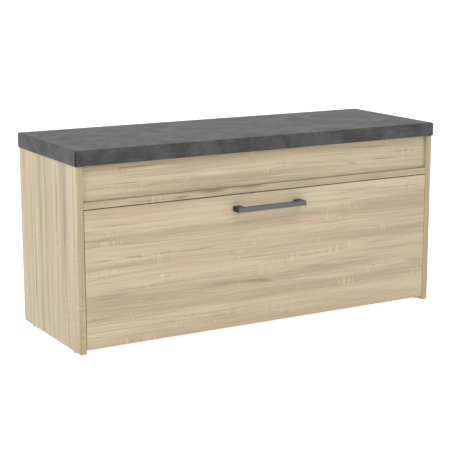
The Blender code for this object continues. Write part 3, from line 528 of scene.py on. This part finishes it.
# Dark figure on a board. A mark has its middle along and across the grain, its half length, its half width,
# its tilt in degrees and its strength.
FIGURE = {
    "left_side_panel": (
        (0.20, 0.119, 0.34, 0.010, 0, 0.65),
        (0.24, 0.099, 0.36, 0.006, 1, 0.46),
        (0.20, 0.059, 0.40, 0.007, 0, 0.59),
        (0.26, 0.027, 0.40, 0.009, 0, 0.65),
        (0.19, -0.042, 0.40, 0.010, 0, 0.74),
        (0.24, -0.092, 0.42, 0.024, 0, 0.56),
        (0.12, -0.108, 0.22, 0.007, 0, 0.46),
        (0.22, -0.140, 0.40, 0.006, 0, 0.65),
        (0.11, 0.100, 0.05, 0.003, 1, 0.85),
    ),
    "flap_front": (
        (-0.40, 0.300, 0.090, 0.006, 0, 0.50),
        (-0.43, 0.270, 0.080, 0.008, 0, 0.50),
        (-0.45, 0.222, 0.050, 0.003, -3, 0.70),
        (-0.366, 0.222, 0.060, 0.005, -5, 0.80),
        (-0.27, 0.223, 0.055, 0.004, 2, 0.50),
        (-0.19, 0.221, 0.070, 0.004, 0, 0.45),
        (-0.05, 0.220, 0.070, 0.007, 0, 0.30),
        (-0.42, 0.131, 0.100, 0.011, 2, 0.36),
        (-0.45, 0.077, 0.060, 0.006, 0, 0.45),
        (-0.318, 0.113, 0.030, 0.003, 0, 0.50),
        (-0.11, 0.124, 0.130, 0.011, 1, 0.38),
        (-0.03, 0.120, 0.055, 0.011, -4, 0.58),
        (0.00, 0.117, 0.030, 0.005, -12, 0.50),
        (0.06, 0.130, 0.035, 0.003, 24, 0.40),
        (0.14, 0.139, 0.050, 0.006, 0, 0.40),
        (0.25, 0.131, 0.150, 0.010, 0, 0.32),
        (0.45, 0.116, 0.050, 0.005, 0, 0.50),
        (0.22, 0.078, 0.130, 0.005, 0, 0.38),
        (0.00, 0.084, 0.120, 0.005, 0, 0.28),
        (0.38, 0.226, 0.130, 0.005, 0, 0.36),
        (0.08, 0.262, 0.050, 0.005, -4, 0.45),
        (0.36, 0.180, 0.150, 0.004, 0, 0.26),
    ),
    "upper_front_panel": (
        (-0.33, 0.431, 0.065, 0.005, 0, 0.75),
        (-0.388, 0.427, 0.011, 0.0065, -50, 0.75),
        (-0.374, 0.426, 0.010, 0.0060, 56, 0.60),
        (-0.382, 0.432, 0.013, 0.0040, 0, 0.80),
        (-0.36, 0.393, 0.120, 0.004, -2, 0.55),
        (-0.44, 0.388, 0.060, 0.004, 0, 0.55),
        (-0.20, 0.398, 0.060, 0.003, 3, 0.47),
        (-0.06, 0.393, 0.050, 0.004, 2, 0.47),
        (0.11, 0.399, 0.110, 0.004, -2, 0.81),
        (0.25, 0.391, 0.035, 0.006, -8, 0.95),
        (0.35, 0.395, 0.070, 0.004, 0, 0.85),
        (0.30, 0.425, 0.150, 0.004, 0, 0.65),
        (-0.05, 0.372, 0.200, 0.004, 0, 0.39),
        (0.32, 0.371, 0.140, 0.004, 0, 0.60),
        (0.42, 0.410, 0.055, 0.005, 0, 0.50),
    ),
    "compartment_floor": (
        (-0.150, 0.356, 0.050, 0.010, 0, 0.90),
        (-0.232, 0.350, 0.032, 0.007, 0, 0.78),
        (-0.045, 0.357, 0.055, 0.007, 0, 0.65),
        (-0.330, 0.352, 0.070, 0.005, 0, 0.50),
        (0.14, 0.355, 0.090, 0.003, 0, 0.56),
        (0.30, 0.350, 0.080, 0.003, 0, 0.38),
    ),
}
FIGURE["right_side_panel"] = tuple(
    (0.44 - along, -across, half_length, half_width, tilt, strength)
    for along, across, half_length, half_width, tilt, strength in FIGURE["left_side_panel"]
)

# Pinkish zones, in the same terms.
GLOW = {
    "left_side_panel": ((0.25, -0.014, 0.35, 0.020, 0, 0.30), (0.15, 0.165, 0.25, 0.012, 0, 0.35)),
    "flap_front": (
        (-0.30, 0.307, 0.090, 0.012, 0, 0.75),
        (-0.22, 0.033, 0.110, 0.012, 0, 0.60),
        (0.15, 0.260, 0.110, 0.012, 0, 0.75),
        (0.08, 0.236, 0.040, 0.010, 0, 0.75),
        (0.05, 0.235, 0.045, 0.018, 0, 0.30),
        (0.30, 0.045, 0.140, 0.012, 0, 0.45),
    ),
    "upper_front_panel": (
        (-0.30, 0.418, 0.090, 0.014, 0, 0.80),
        (-0.10, 0.437, 0.160, 0.008, 0, 0.45),
        (0.02, 0.418, 0.070, 0.008, 0, 0.60),
    ),
    "compartment_floor": (
        (-0.38, 0.351, 0.060, 0.010, 0, 0.40),
        (0.02, 0.353, 0.070, 0.009, 0, 0.60),
    ),
}

# Zones that the saw has combed across the grain, in the same terms.
COMBED = {
    "flap_front": (
        (-0.42, 0.259, 0.045, 0.010, 0, 1.0),
        (-0.277, 0.166, 0.042, 0.009, 0, 1.0),
        (-0.10, 0.275, 0.030, 0.006, 0, 0.8),
        (-0.087, 0.200, 0.045, 0.007, 0, 0.8),
        (0.18, 0.257, 0.060, 0.008, 0, 1.0),
        (0.07, 0.170, 0.055, 0.010, 4, 1.0),
        (0.18, 0.171, 0.075, 0.006, 0, 0.8),
        (0.243, 0.122, 0.018, 0.006, 0, 1.0),
        (0.411, 0.122, 0.008, 0.010, 0, 0.8),
        (-0.16, 0.035, 0.050, 0.007, 0, 0.8),
    ),
    "upper_front_panel": (
        (-0.215, 0.388, 0.030, 0.008, 0, 1.0),
        (-0.33, 0.385, 0.026, 0.004, 0, 0.8),
        (-0.30, 0.424, 0.050, 0.007, 0, 0.9),
        (0.01, 0.389, 0.045, 0.008, 0, 1.0),
        (0.36, 0.407, 0.020, 0.005, 0, 0.7),
    ),
    "compartment_floor": ((-0.195, 0.354, 0.010, 0.009, 0, 1.0), (-0.10, 0.352, 0.012, 0.008, 0, 0.9)),
}


def marks_on(tree, place, marks, layer):
    """The marks' masks added up, or 0 without marks. The layer is their middle and reach in depth."""
    total = 0.0
    for along, across, half_length, half_width, tilt, strength in marks:
        total = grouped(
            tree,
            "Figure mark",
            Place=place,
            Middle=(along, across, layer[0]),
            Size=(half_length, half_width, layer[1]),
            Tilt=(0.0, 0.0, math.radians(tilt)),
            Strength=strength,
            Before=total,
        )["Mask"]
    return total


def oak_finish(settings, board):
    """Sawn oak foil on one board, with the board's own marks and a darker strip on its narrow faces."""
    turn, cut, streaks, strip = BOARDS[board]
    finish, tree, shader = new_finish(f"Sawn oak {board}", Specular_IOR_Level=0.35)
    place = place_of(tree, cut, turn)
    flow = grouped(tree, "Grain flow", Place=place, Wander=settings.wander)["Place"]
    spot = place_of(tree, turn=UPRIGHT if turn == UPRIGHT else ALONG_FRONT)
    layer = (0.0, FAR) if turn == UPRIGHT else (-FRONT_Y, MARK_DEPTH)
    bent = vectors(tree, "ADD", spot, vectors(tree, "SUBTRACT", flow, place))
    oak = grouped(
        tree,
        "Sawn oak",
        Place=place,
        Flow=flow,
        Pale=colour(settings.pale),
        Middle=colour(settings.middle),
        Dark=colour(settings.dark),
        Warm=colour(settings.warm),
        Streaks=streaks,
        Figure=marks_on(tree, bent, FIGURE.get(board, ()), layer),
        Glow=marks_on(tree, bent, GLOW.get(board, ()), layer),
        Combed=marks_on(tree, spot, COMBED.get(board, ()), layer),
        Saw_marks=settings.saw_marks,
    )
    low, high = ends(board)
    reach = (high - low) / 2
    reach[reach.argmin()] = FAR
    edged = grouped(
        tree,
        "Edge strip",
        Place=place_of(tree),
        Middle=(low + high) / 2,
        Reach=reach,
        Oak=oak["Color"],
        Tone=colour(settings.strip),
        Amount=strip,
    )
    coat(tree, shader, edged["Color"], oak, settings.relief)
    return finish


def dress(node, finish):
    """Gives a frame node one finish in all its slots."""
    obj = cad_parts[node]
    if not obj.data.materials:
        obj.data.materials.append(finish)
    for slot in obj.material_slots:
        slot.link = "OBJECT"
        slot.material = finish


class BENCH_OT_lay_grain(bpy.types.Operator):
    """Gives each board its own piece of sawn oak."""

    bl_idname = "bench.lay_grain"
    bl_label = "Lay the Oak Grain"

    def execute(self, context):
        make_grain_flow()
        make_figure_mark()
        make_sawn_oak()
        make_edge_strip()
        for board in BOARDS:
            dress(board, oak_finish(context.scene.bench_oak, board))
        return {"FINISHED"}


# ---- seat ---------------------------------------------------------------------------------------
TURN_UNDER = 0.0012  # radius of the cloth's turn at the foot of its wall
HEM = 0.030  # how far the hem reaches in under the seat board
CLOTH_GAP = 0.0001  # between the seat board and the cloth
CLOTH_LINE = 0.00115  # from the cover's outline in to the board's edge
BULGE = 0.0005  # how far the wall swells between its edge and its foot
GROOVE = 0.0012  # half width of the folded seam at a corner
LAP = 0.0004  # how far one side laps over the other there
LAP_RUN = 0.018  # along the wall until the lap has died out
SLACK = 0.00035  # unevenness of the top
RIPPLE = 0.00025  # unevenness of the walls


def cloth_finish(settings):
    sheen = {"Sheen_Weight": 0.12, "Sheen_Roughness": 0.45, "Sheen_Tint": colour((1.0, 0.99, 0.98))}
    finish, tree, shader = new_finish("Rubbed grey cloth", Specular_IOR_Level=0.30, **sheen)
    cloth = grouped(
        tree,
        "Rubbed cloth",
        Place=place_of(tree),
        Deep=colour(settings.deep),
        Light=colour(settings.light),
        Blotches=settings.blotches,
        # The fold mask says where painted shade darkens the cloth.
        Fold=put(tree, "Attribute", attribute_name="fold").outputs["Fac"],
    )
    coat(tree, shader, cloth["Color"], cloth, 0.00025, 0.8)
    return finish


def round_a_rectangle(points_x, points_y, points_turn):
    """Once round a rectangle: each point's share of the half width and half depth, and its outward angle.

    The shares run from -1 to 1 along a side, closer together near its ends, and stay still at a corner while
    the angle turns.
    """
    corners = np.array([(-1, -1), (1, -1), (1, 1), (-1, 1), (-1, -1)], float)
    shares, angles = [], []
    for side in range(4):
        count = points_y if side % 2 else points_x
        t = np.arange(count) / count
        t = 0.45 * t + 0.55 * (1 - np.cos(math.pi * t)) / 2
        start, stop = corners[side], corners[side + 1]
        base = (side - 1) * QUARTER_TURN
        shares += [start + (stop - start) * t[:, None], np.tile(stop, (points_turn, 1))]
        angles += [np.full(count, base), base + QUARTER_TURN * np.arange(points_turn) / points_turn]
    return np.concatenate(shares), np.concatenate(angles)


def wave(place, lengths, seed):
    """An unevenness from -1 to 1: the mean of sines of these wavelengths, in directions the seed draws."""
    random = np.random.default_rng(seed)
    total = np.zeros(place.shape[:-1])
    for length in lengths:
        direction = random.normal(size=place.shape[-1])
        direction = direction / np.linalg.norm(direction)
        start = random.uniform(0, 2 * math.pi)
        total = total + np.sin(2 * math.pi * (place @ direction) / length + start)
    return total / len(lengths)


def section_row(inset, height, fold=0.0):
    """Points of a section as rows of inset, height and fold, any of which may be one number for them all."""
    return np.stack(np.broadcast_arrays(inset, height, fold), axis=-1).reshape(-1, 3).astype(float)


def seat_section(settings, half_depth, bottom, top, board_low, board_high):
    """The cover's section as rows of (inset from the outline, height, how far the corner fold reaches it).

    It runs from the middle of the top, over the rounded edge, down the wall, under the hem, back out under
    the board, up the board's edge and in over its top, so that going round the seat closes it.
    """
    edge, roll = settings.edge, settings.roll
    foot, top_edge = bottom - roll, top - settings.crown
    t = np.linspace(0, 1, 16, endpoint=False)
    in_top = half_depth + (edge - half_depth) * (1 - (1 - t) ** 1.7)
    crown = settings.crown * (1 - np.exp(-(in_top - edge) / 0.035))
    rows = [section_row(in_top, top_edge + crown)]
    a = np.linspace(0, QUARTER_TURN, 10, endpoint=False)
    rows.append(section_row(edge * (1 - np.sin(a)), top_edge - edge * (1 - np.cos(a)), np.sin(a) ** 2))
    t = np.linspace(0, 1, 12, endpoint=False)
    wall_top, wall_foot = top_edge - edge, foot + TURN_UNDER
    rows.append(section_row(-BULGE * np.sin(math.pi * t), wall_top + (wall_foot - wall_top) * t, 1.0))
    a = np.linspace(0, QUARTER_TURN, 6, endpoint=False)
    rows.append(section_row(TURN_UNDER * (1 - np.cos(a)), foot + TURN_UNDER * (1 - np.sin(a)), np.cos(a)))
    a = np.linspace(0, QUARTER_TURN, 5, endpoint=False)
    rows.append(section_row(TURN_UNDER * (1 + np.sin(a)), foot + roll * (1 - np.cos(a))))
    rows.append(section_row([2 * TURN_UNDER, HEM / 2], bottom))
    lip = (board_low - CLOTH_GAP - bottom) / 2
    a = np.linspace(-QUARTER_TURN, QUARTER_TURN, 7)
    rows.append(section_row(HEM + lip * np.cos(a), bottom + lip + lip * np.sin(a)))
    t = np.linspace(0, 1, 4)
    board = board_high - board_low + 2 * CLOTH_GAP
    rows.append(section_row(CLOTH_LINE, board_low - CLOTH_GAP + board * t))
    t = np.linspace(0, 1, 8)[1:]
    rows.append(section_row(CLOTH_LINE + (half_depth - CLOTH_LINE) * t, board_high + CLOTH_GAP))
    return np.concatenate(rows)


def seat_surface(settings):
    """The covered seat as one closed surface: its section carried round a rectangle with rounded corners.

    A point is the share times (the half side less the turn's reach), plus the turn's radius times its
    outward direction. Both shrink as the section's inset grows, so the inner rows meet in a line. At each
    upright corner the cloth is folded: a narrow groove goes in, and one side laps a little way over the
    other. The walls above the board grow taller towards the left. It also returns each point's nearness to a
    corner's folded seam, the mask for painted shade in the cloth.
    """
    low, high = ends("seat_cover")
    board_low, board_high = ends("seat_board")
    half = (high - low) / 2
    middle = (high + low) / 2
    section = seat_section(settings, half[1], low[2], high[2], board_low[2], board_high[2])
    shares, angles = round_a_rectangle(120, 44, 24)
    inset, height, reach = (column[:, None] for column in section.T)
    turn_reach = np.maximum(settings.corner, inset)
    radius = np.maximum(settings.corner - inset, 0)
    outward = np.stack([np.cos(angles), np.sin(angles)], axis=1)
    flat = shares[None] * (half[:2] - turn_reach[..., None]) + radius[..., None] * outward[None]

    outline = flat[int(np.argmin(section[:, 0]))]
    steps = np.linalg.norm(np.roll(outline, -1, axis=0) - outline, axis=1)
    walked = np.concatenate([[0], np.cumsum(steps)[:-1]])
    total = steps.sum()
    corner = np.flatnonzero(np.isclose(np.mod(angles, QUARTER_TURN), QUARTER_TURN / 2))
    apart = walked[:, None] - walked[corner][None]
    apart = np.mod(apart + total / 2, total) - total / 2
    nearest = apart[np.arange(len(apart)), np.abs(apart).argmin(axis=1)]
    groove = np.exp(-((nearest / GROOVE) ** 2))
    lap = LAP * np.exp(-np.maximum(nearest, 0) / LAP_RUN) / (1 + np.exp(-nearest / LAP))
    out_by = reach * (lap - settings.fold * groove)[None]
    flat = flat + out_by[..., None] * outward[None]

    heights = np.broadcast_to(height[..., None], flat.shape[:2] + (1,))
    points = np.concatenate([flat + middle[:2], heights], axis=2)
    shown = np.clip((height - low[2]) / 0.006, 0, 1) * (inset < 0.2)
    uneven = wave(points, (0.31, 0.19, 0.12, 0.077), 11)
    on_top = np.clip((inset - 0.002) / 0.03, 0, 1) * (height > board_high[2] + 0.004)
    points[..., 2] -= SLACK * np.abs(uneven) * on_top
    above_board = np.clip((height - board_high[2]) / (high[2] - board_high[2]), 0, 1)
    leftward = np.clip((high[0] - points[..., 0]) / (high[0] - low[0]), 0, 1)
    points[..., 2] += settings.lean * leftward * above_board * (inset < half[1] + WELD)
    side = RIPPLE * wave(points, (0.14, 0.083, 0.051), 5) * reach * shown
    points[..., :2] += side[..., None] * outward[None]
    faces = woven(len(section), len(angles), round_columns=True)
    # Painted shade mask: 1 on the folded seam at each upright corner, fading within about 2 mm to either
    # side.
    marks = np.broadcast_to(reach * np.exp(-((nearest / 0.0019) ** 2))[None], flat.shape[:2])
    return points.reshape(-1, 3), faces, marks.ravel()


class BENCH_OT_cover_seat(bpy.types.Operator):
    """Folds the grey cloth over the foam and under the seat board."""

    bl_idname = "bench.cover_seat"
    bl_label = "Cover the Seat"

    def execute(self, context):
        make_rubbed_cloth()
        settings = context.scene.bench_cover
        points, faces, fold = seat_surface(settings)
        cloth = cloth_finish(settings)
        # The fold attribute carries where painted shade darkens the cloth's colour.
        values = {"fold": fold}
        pad = closed_piece("seat_upholstery", points, faces, "seat_lid", cloth, 60, values)
        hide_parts("seat_cover", "seat_foam")
        return {"FINISHED"}


# ---- metal and plastic --------------------------------------------------------------------------
def drawn_finish(name, tone_at, polish, metallic):
    """Drawn metal. The tone is a colour, or a function that makes one from a tree and a place."""
    finish, tree, shader = new_finish(name, Metallic=metallic)
    place = place_of(tree)
    tone = tone_at(tree, place) if callable(tone_at) else colour(tone_at)
    metal = grouped(tree, "Drawn metal", Place=place, Tone=tone, Polish=polish)
    coat(tree, shader, metal["Color"], metal, 0.00001, 0.5)
    return finish


def handle_finish(settings):
    """The handle's satin coat, with painted shade: its top, ends and back get a darker grey than its face,
    for how the light falls on them.
    """

    def tone_at(tree, place):
        depth = put(tree, "SeparateXYZ", {0: place}).outputs[1]
        # Painted shade: behind the front face, the top, ends and back take the darker colour.
        face = eased(tree, depth, HANDLE_FACE_Y + 0.0007, HANDLE_FACE_Y + 0.0002)
        return mixed(tree, face, colour(settings.sides), colour(settings.handle))

    return drawn_finish("Satin grey coat", tone_at, settings.polish, 0.35)


def pitted_finish(name, tone, fleck, per_metre, flecks, **constants):
    finish, tree, shader = new_finish(name, **constants)
    tones = {"Tone": colour(tone), "Fleck": colour(fleck)}
    pits = grouped(tree, "Fine pits", Place=place_of(tree), Per_metre=per_metre, Flecks=flecks, **tones)
    coat(tree, shader, pits["Color"], pits, 0.00005, 0.6)
    return finish


def nodes_called(start):
    return [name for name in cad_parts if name.startswith(start)]


class BENCH_OT_finish_fittings(bpy.types.Operator):
    """Finishes the handle, hinges, stay, pins, glides, bumpers, dowels and back."""

    bl_idname = "bench.finish_fittings"
    bl_label = "Finish the Fittings"

    def execute(self, context):
        make_drawn_metal()
        make_fine_pits()
        settings = context.scene.bench_metal
        zinc = drawn_finish("Zinc plate", settings.zinc, 0.36, 1.0)
        grey = pitted_finish("Moulded grey plastic", (0.16, 0.16, 0.17), (0.24, 0.24, 0.25), 1400.0, 0.5)
        glassy = {"Transmission_Weight": 0.7, "IOR": 1.45}
        finishes = {
            "flap_handle": handle_finish(settings),
            "flap_cheek": grey,
            "glide": grey,
            "lid_bumper": pitted_finish(
                "Clear bumper", (0.80, 0.82, 0.82), (0.90, 0.92, 0.92), 900.0, 0.3, **glassy
            ),
            "dowel": pitted_finish("Fluted beech", (0.55, 0.38, 0.22), (0.38, 0.24, 0.13), 700.0, 0.6),
            "back_panel": pitted_finish(
                "Pressed fibre back", (0.30, 0.19, 0.105), (0.15, 0.09, 0.05), 420.0, 0.75
            ),
        }
        steel = ("hinge", "stay", "flap_pivot_pin", "flap_stop_pin", "cam", "handle_screw")
        for start, finish in {**finishes, **dict.fromkeys(steel, zinc)}.items():
            for node in nodes_called(start):
                dress(node, finish)
        return {"FINISHED"}


# ---- fixings ------------------------------------------------------------------------------------
SCREW_RECESS = 0.0006  # depth of the cross in a head
SCREW_BITE = 0.0004  # how far a head goes into what it stands on
LEAF = 0.0012  # thickness of a hinge leaf
RAIL_SCREW_UP = 0.008  # a rail leaf's screws above its lower edge
LID_SCREW_IN = 0.0038  # a lid leaf's screws behind its front edge
CHEEK_SCREW_IN = 0.0055  # a cheek's screws from its inner face out into its flange
CHEEK_FLANGE = 0.0033  # the flange's face behind the flap's
CHEEK_SCREW_END = 0.022  # a cheek's outer screws from its top and foot
STAY_SCREW_END = 0.005
STAY_SCREW_IN = 0.0045
BRACKET_SCREW_END = 0.007
STAPLE_HALF = 0.0050
STAPLE_WIRE = 0.0004
STAPLE_LEG = 0.0012  # how far its ends go up into the hem
STAPLE_BEND = 0.0002  # its bends start above the hem by this and end below it by this
STAPLE_DROP = 0.0003  # its middle below the hem
STAPLE_FROM_CORNER = 0.045
HINGE_CLEAR = 0.036  # no staple stands this close to a hinge's middle
NAIL_RADIUS = 0.0016
NAIL_HEIGHT = 0.0005
NAIL_INSET = 0.007
NAIL_BITE = 0.0002


def fix(name, points, faces, body, sharp=40.0):
    """A group of zinc-plated fixings on a body."""
    return closed_piece(name, points, faces, body, bpy.data.materials["Zinc plate"], sharp)


def screws(settings, name, body, spots, direction, scale=1.0):
    """Cross-headed screws standing on a face. Each head is turned a different amount."""
    radius = settings.screw_radius * scale
    points, faces = turned_dome(radius, settings.screw_height, 24, 9, SCREW_RECESS, SCREW_BITE)
    turns = [facing(direction, spin=0.7 * number) for number in range(len(spots))]
    return fix(name, *repeated(points, faces, turns, spots), body)


def hinge_spots():
    """Where the screws stand in the rail leaves and in the lid leaves, two in each."""
    rail_spots, lid_spots = [], []
    for side in SIDES:
        low, high = ends(f"hinge_rail_leaf_{side}")
        lid_low, lid_high = ends(f"hinge_lid_leaf_{side}")
        for x in np.linspace(low[0], high[0], 5)[[1, 3]]:
            rail_spots.append((x, low[1] + LEAF, low[2] + RAIL_SCREW_UP))
            lid_spots.append((x, lid_low[1] + LID_SCREW_IN, lid_high[2] - LEAF - CLOTH_GAP))
    return rail_spots, lid_spots


def cheek_spots(side):
    """Where three screws stand in a cheek's flange."""
    low, high = ends(f"flap_cheek_{side}")
    x = high[0] - CHEEK_SCREW_IN if side == "left" else low[0] + CHEEK_SCREW_IN
    y = ends("flap_front")[1][1] + CHEEK_FLANGE
    heights = (low[2] + CHEEK_SCREW_END, (low[2] + high[2]) / 2, high[2] - CHEEK_SCREW_END)
    return [(x, y, z) for z in heights]


class BENCH_OT_drive_screws(bpy.types.Operator):
    """Puts the screws in the hinges, the lid stay and the flap's cheeks."""

    bl_idname = "bench.drive_screws"
    bl_label = "Drive the Screws"

    def execute(self, context):
        settings = context.scene.bench_fixings
        for side in SIDES:
            screws(settings, f"cheek_screws_{side}", "flap", cheek_spots(side), (0, 1, 0), 1.2)
        low, high = ends("stay_base")
        x, y = high[0] - STAY_PLATE, high[1] - STAY_SCREW_IN
        spots = [(x, y, z) for z in (low[2] + STAY_SCREW_END, high[2] - STAY_SCREW_END)]
        screws(settings, "stay_screws_base", "carcass", spots, (-1, 0, 0), 0.8)
        low, high = ends("stay_lid_bracket")
        x, z = low[0] + STAY_SCREW_IN, high[2] - STAY_PLATE
        spots = [(x, y, z) for y in (low[1] + BRACKET_SCREW_END, high[1] - BRACKET_SCREW_END)]
        screws(settings, "stay_screws_lid", "seat_lid", spots, (0, 0, -1), 0.9)
        rail_spots, lid_spots = hinge_spots()
        screws(settings, "hinge_screws_rail", "carcass", rail_spots, (0, 1, 0))
        screws(settings, "hinge_screws_lid", "seat_lid", lid_spots, (0, 0, -1), 0.9)
        return {"FINISHED"}


class BENCH_OT_staple_hem(bpy.types.Operator):
    """Staples the cover's hem to the seat board, clear of the hinges."""

    bl_idname = "bench.staple_hem"
    bl_label = "Staple the Hem"

    def execute(self, context):
        settings = context.scene.bench_fixings
        low, high = ends("seat_cover")
        inset = settings.staple_inset
        hinge_x = abs(ends("hinge_lid_leaf_left")[0][0] + ends("hinge_lid_leaf_left")[1][0]) / 2
        bend = STAPLE_HALF - STAPLE_WIRE
        path = [(-STAPLE_HALF, 0, STAPLE_LEG), (-STAPLE_HALF, 0, STAPLE_BEND)]
        path += [(-bend, 0, -STAPLE_BEND), (0, 0, -STAPLE_DROP)]
        path += [(-x, 0, z) for x, _, z in path[2::-1]]
        places, turns = [], []
        for axis in (0, 1):
            reach = (high[axis] - low[axis]) / 2 - STAPLE_FROM_CORNER
            middle = (high[axis] + low[axis]) / 2
            count = int(round(2 * reach / settings.staple_step)) + 1
            for number, run in enumerate(np.linspace(middle - reach, middle + reach, count)):
                for edge in (low[1 - axis] + inset, high[1 - axis] - inset):
                    if axis == 0 and edge > 0 and abs(abs(run) - hinge_x) < HINGE_CLEAR:
                        continue
                    places.append((run, edge, low[2]) if axis == 0 else (edge, run, low[2]))
                    tilt = axis * QUARTER_TURN + math.radians(7 * math.sin(2.4 * number + edge * 9))
                    turns.append(Matrix.Rotation(tilt, 3, "Z"))
        fix("hem_staples", *repeated(*wire(path, STAPLE_WIRE), turns, places), "seat_lid", sharp=50)
        return {"FINISHED"}


class BENCH_OT_nail_back(bpy.types.Operator):
    """Nails the back panel on, all round its edge."""

    bl_idname = "bench.nail_back"
    bl_label = "Nail the Back"

    def execute(self, context):
        low, high = ends("back_panel")
        places = []
        for axis in (0, 2):
            other = 2 - axis
            start, stop = low[axis] + NAIL_INSET, high[axis] - NAIL_INSET
            count = int(round((stop - start) / context.scene.bench_fixings.nail_step)) + 1
            run = np.linspace(start, stop, count)
            if axis == 2:
                run = run[1:-1]
            for edge in (low[other] + NAIL_INSET, high[other] - NAIL_INSET):
                spots = np.zeros((len(run), 3))
                spots[:, axis], spots[:, other], spots[:, 1] = run, edge, high[1]
                places.append(spots)
        places = np.concatenate(places)
        points, faces = turned_dome(NAIL_RADIUS, NAIL_HEIGHT, 10, 4, bite=NAIL_BITE)
        turns = [facing((0, 1, 0))] * len(places)
        fix("back_nails", *repeated(points, faces, turns, places), "carcass")
        return {"FINISHED"}


# ---- stage --------------------------------------------------------------------------------------
HEART = (0.0, 0.0, 0.25)  # what the lamps are aimed at
LAMPS = {  # a soft square lamp's place and side
    "key": ((-3.2, -1.2, 1.9), 1.8),
    "over": ((0.1, -1.5, 3.0), 1.6),
    "front": ((0.3, -3.0, 2.7), 1.6),
}


def add_lamp(name, place, size, power):
    """A soft square lamp at a place, aimed at the bench."""
    data = bpy.data.lights.new(name, "AREA")
    data.shape, data.size, data.energy = "SQUARE", size, power
    turn = (Vector(HEART) - Vector(place)).to_track_quat("-Z", "Y").to_matrix().to_4x4()
    put_in_scene(name, data).matrix_world = Matrix.Translation(place) @ turn


def lay_floor(settings):
    """A pale floor that glows a little, so that shadows on it stay faint."""
    finish = new_finish(
        "Studio floor",
        Base_Color=colour((0.5, 0.5, 0.5)),
        Roughness=1.0,
        Specular_IOR_Level=0.0,
        Emission_Color=colour((1.0, 1.0, 1.0)),
        Emission_Strength=settings.table,
    )[0]
    corners = [(x * FLOOR_REACH, y * FLOOR_REACH, 0) for x, y in ((-1, -1), (1, -1), (1, 1), (-1, 1))]
    mesh = bpy.data.meshes.new("studio_floor")
    mesh.from_pydata(corners, [], [(0, 1, 2, 3)])
    mesh.materials.append(finish)
    put_in_scene("studio_floor", mesh)


class BENCH_OT_set_stage(bpy.types.Operator):
    """Sets a pale floor, soft lamps and the camera."""

    bl_idname = "bench.set_stage"
    bl_label = "Set the Stage"

    def execute(self, context):
        scene = context.scene
        settings = scene.bench_stage
        lay_floor(settings)
        for name, (place, size) in LAMPS.items():
            add_lamp(f"{name}_lamp", place, size, getattr(settings, name))

        world = bpy.data.worlds.new("Studio air")
        world.use_nodes = True
        sky = world.node_tree.nodes["Background"].inputs
        give(world.node_tree, sky, Color=colour((1.0, 1.0, 1.0)), Strength=settings.air)
        scene.world = world

        data = bpy.data.cameras.new("camera")
        data.sensor_width, data.lens = 36.0, settings.lens
        scene.camera = put_in_scene("camera", data)
        scene.camera.location = settings.camera_place
        scene.camera.rotation_euler = (settings.camera_tilt, 0.0, settings.camera_turn)
        scene.view_settings.view_transform = "Standard"
        return {"FINISHED"}


# ---- add-on -------------------------------------------------------------------------------------
STEPS = (
    BENCH_OT_set_stage,
    BENCH_OT_lay_grain,
    BENCH_OT_cover_seat,
    BENCH_OT_finish_fittings,
    BENCH_OT_drive_screws,
    BENCH_OT_staple_hem,
    BENCH_OT_nail_back,
)


class BENCH_PT_finish(bpy.types.Panel):
    """Lists the bench's steps and settings."""

    bl_idname = "BENCH_PT_finish"
    bl_label = "Bench Finish"
    bl_space_type = "VIEW_3D"
    bl_region_type = "UI"
    bl_category = "Bench"

    def draw(self, context):
        for name, group in SETTINGS.items():
            box = self.layout.box()
            for label in group.__annotations__:
                box.prop(getattr(context.scene, name), label)
        for step in STEPS:
            self.layout.operator(step.bl_idname)


def register():
    for group in (*SETTINGS.values(), *STEPS, BENCH_PT_finish):
        bpy.utils.register_class(group)
    for name, group in SETTINGS.items():
        setattr(bpy.types.Scene, name, bpy.props.PointerProperty(type=group))


def unregister():
    for name in SETTINGS:
        delattr(bpy.types.Scene, name)
    for group in reversed((*SETTINGS.values(), *STEPS, BENCH_PT_finish)):
        bpy.utils.unregister_class(group)


def main():
    register()
    for step in STEPS:
        family, name = step.bl_idname.split(".")
        getattr(getattr(bpy.ops, family), name)()


if __name__ == "__main__":
    main()
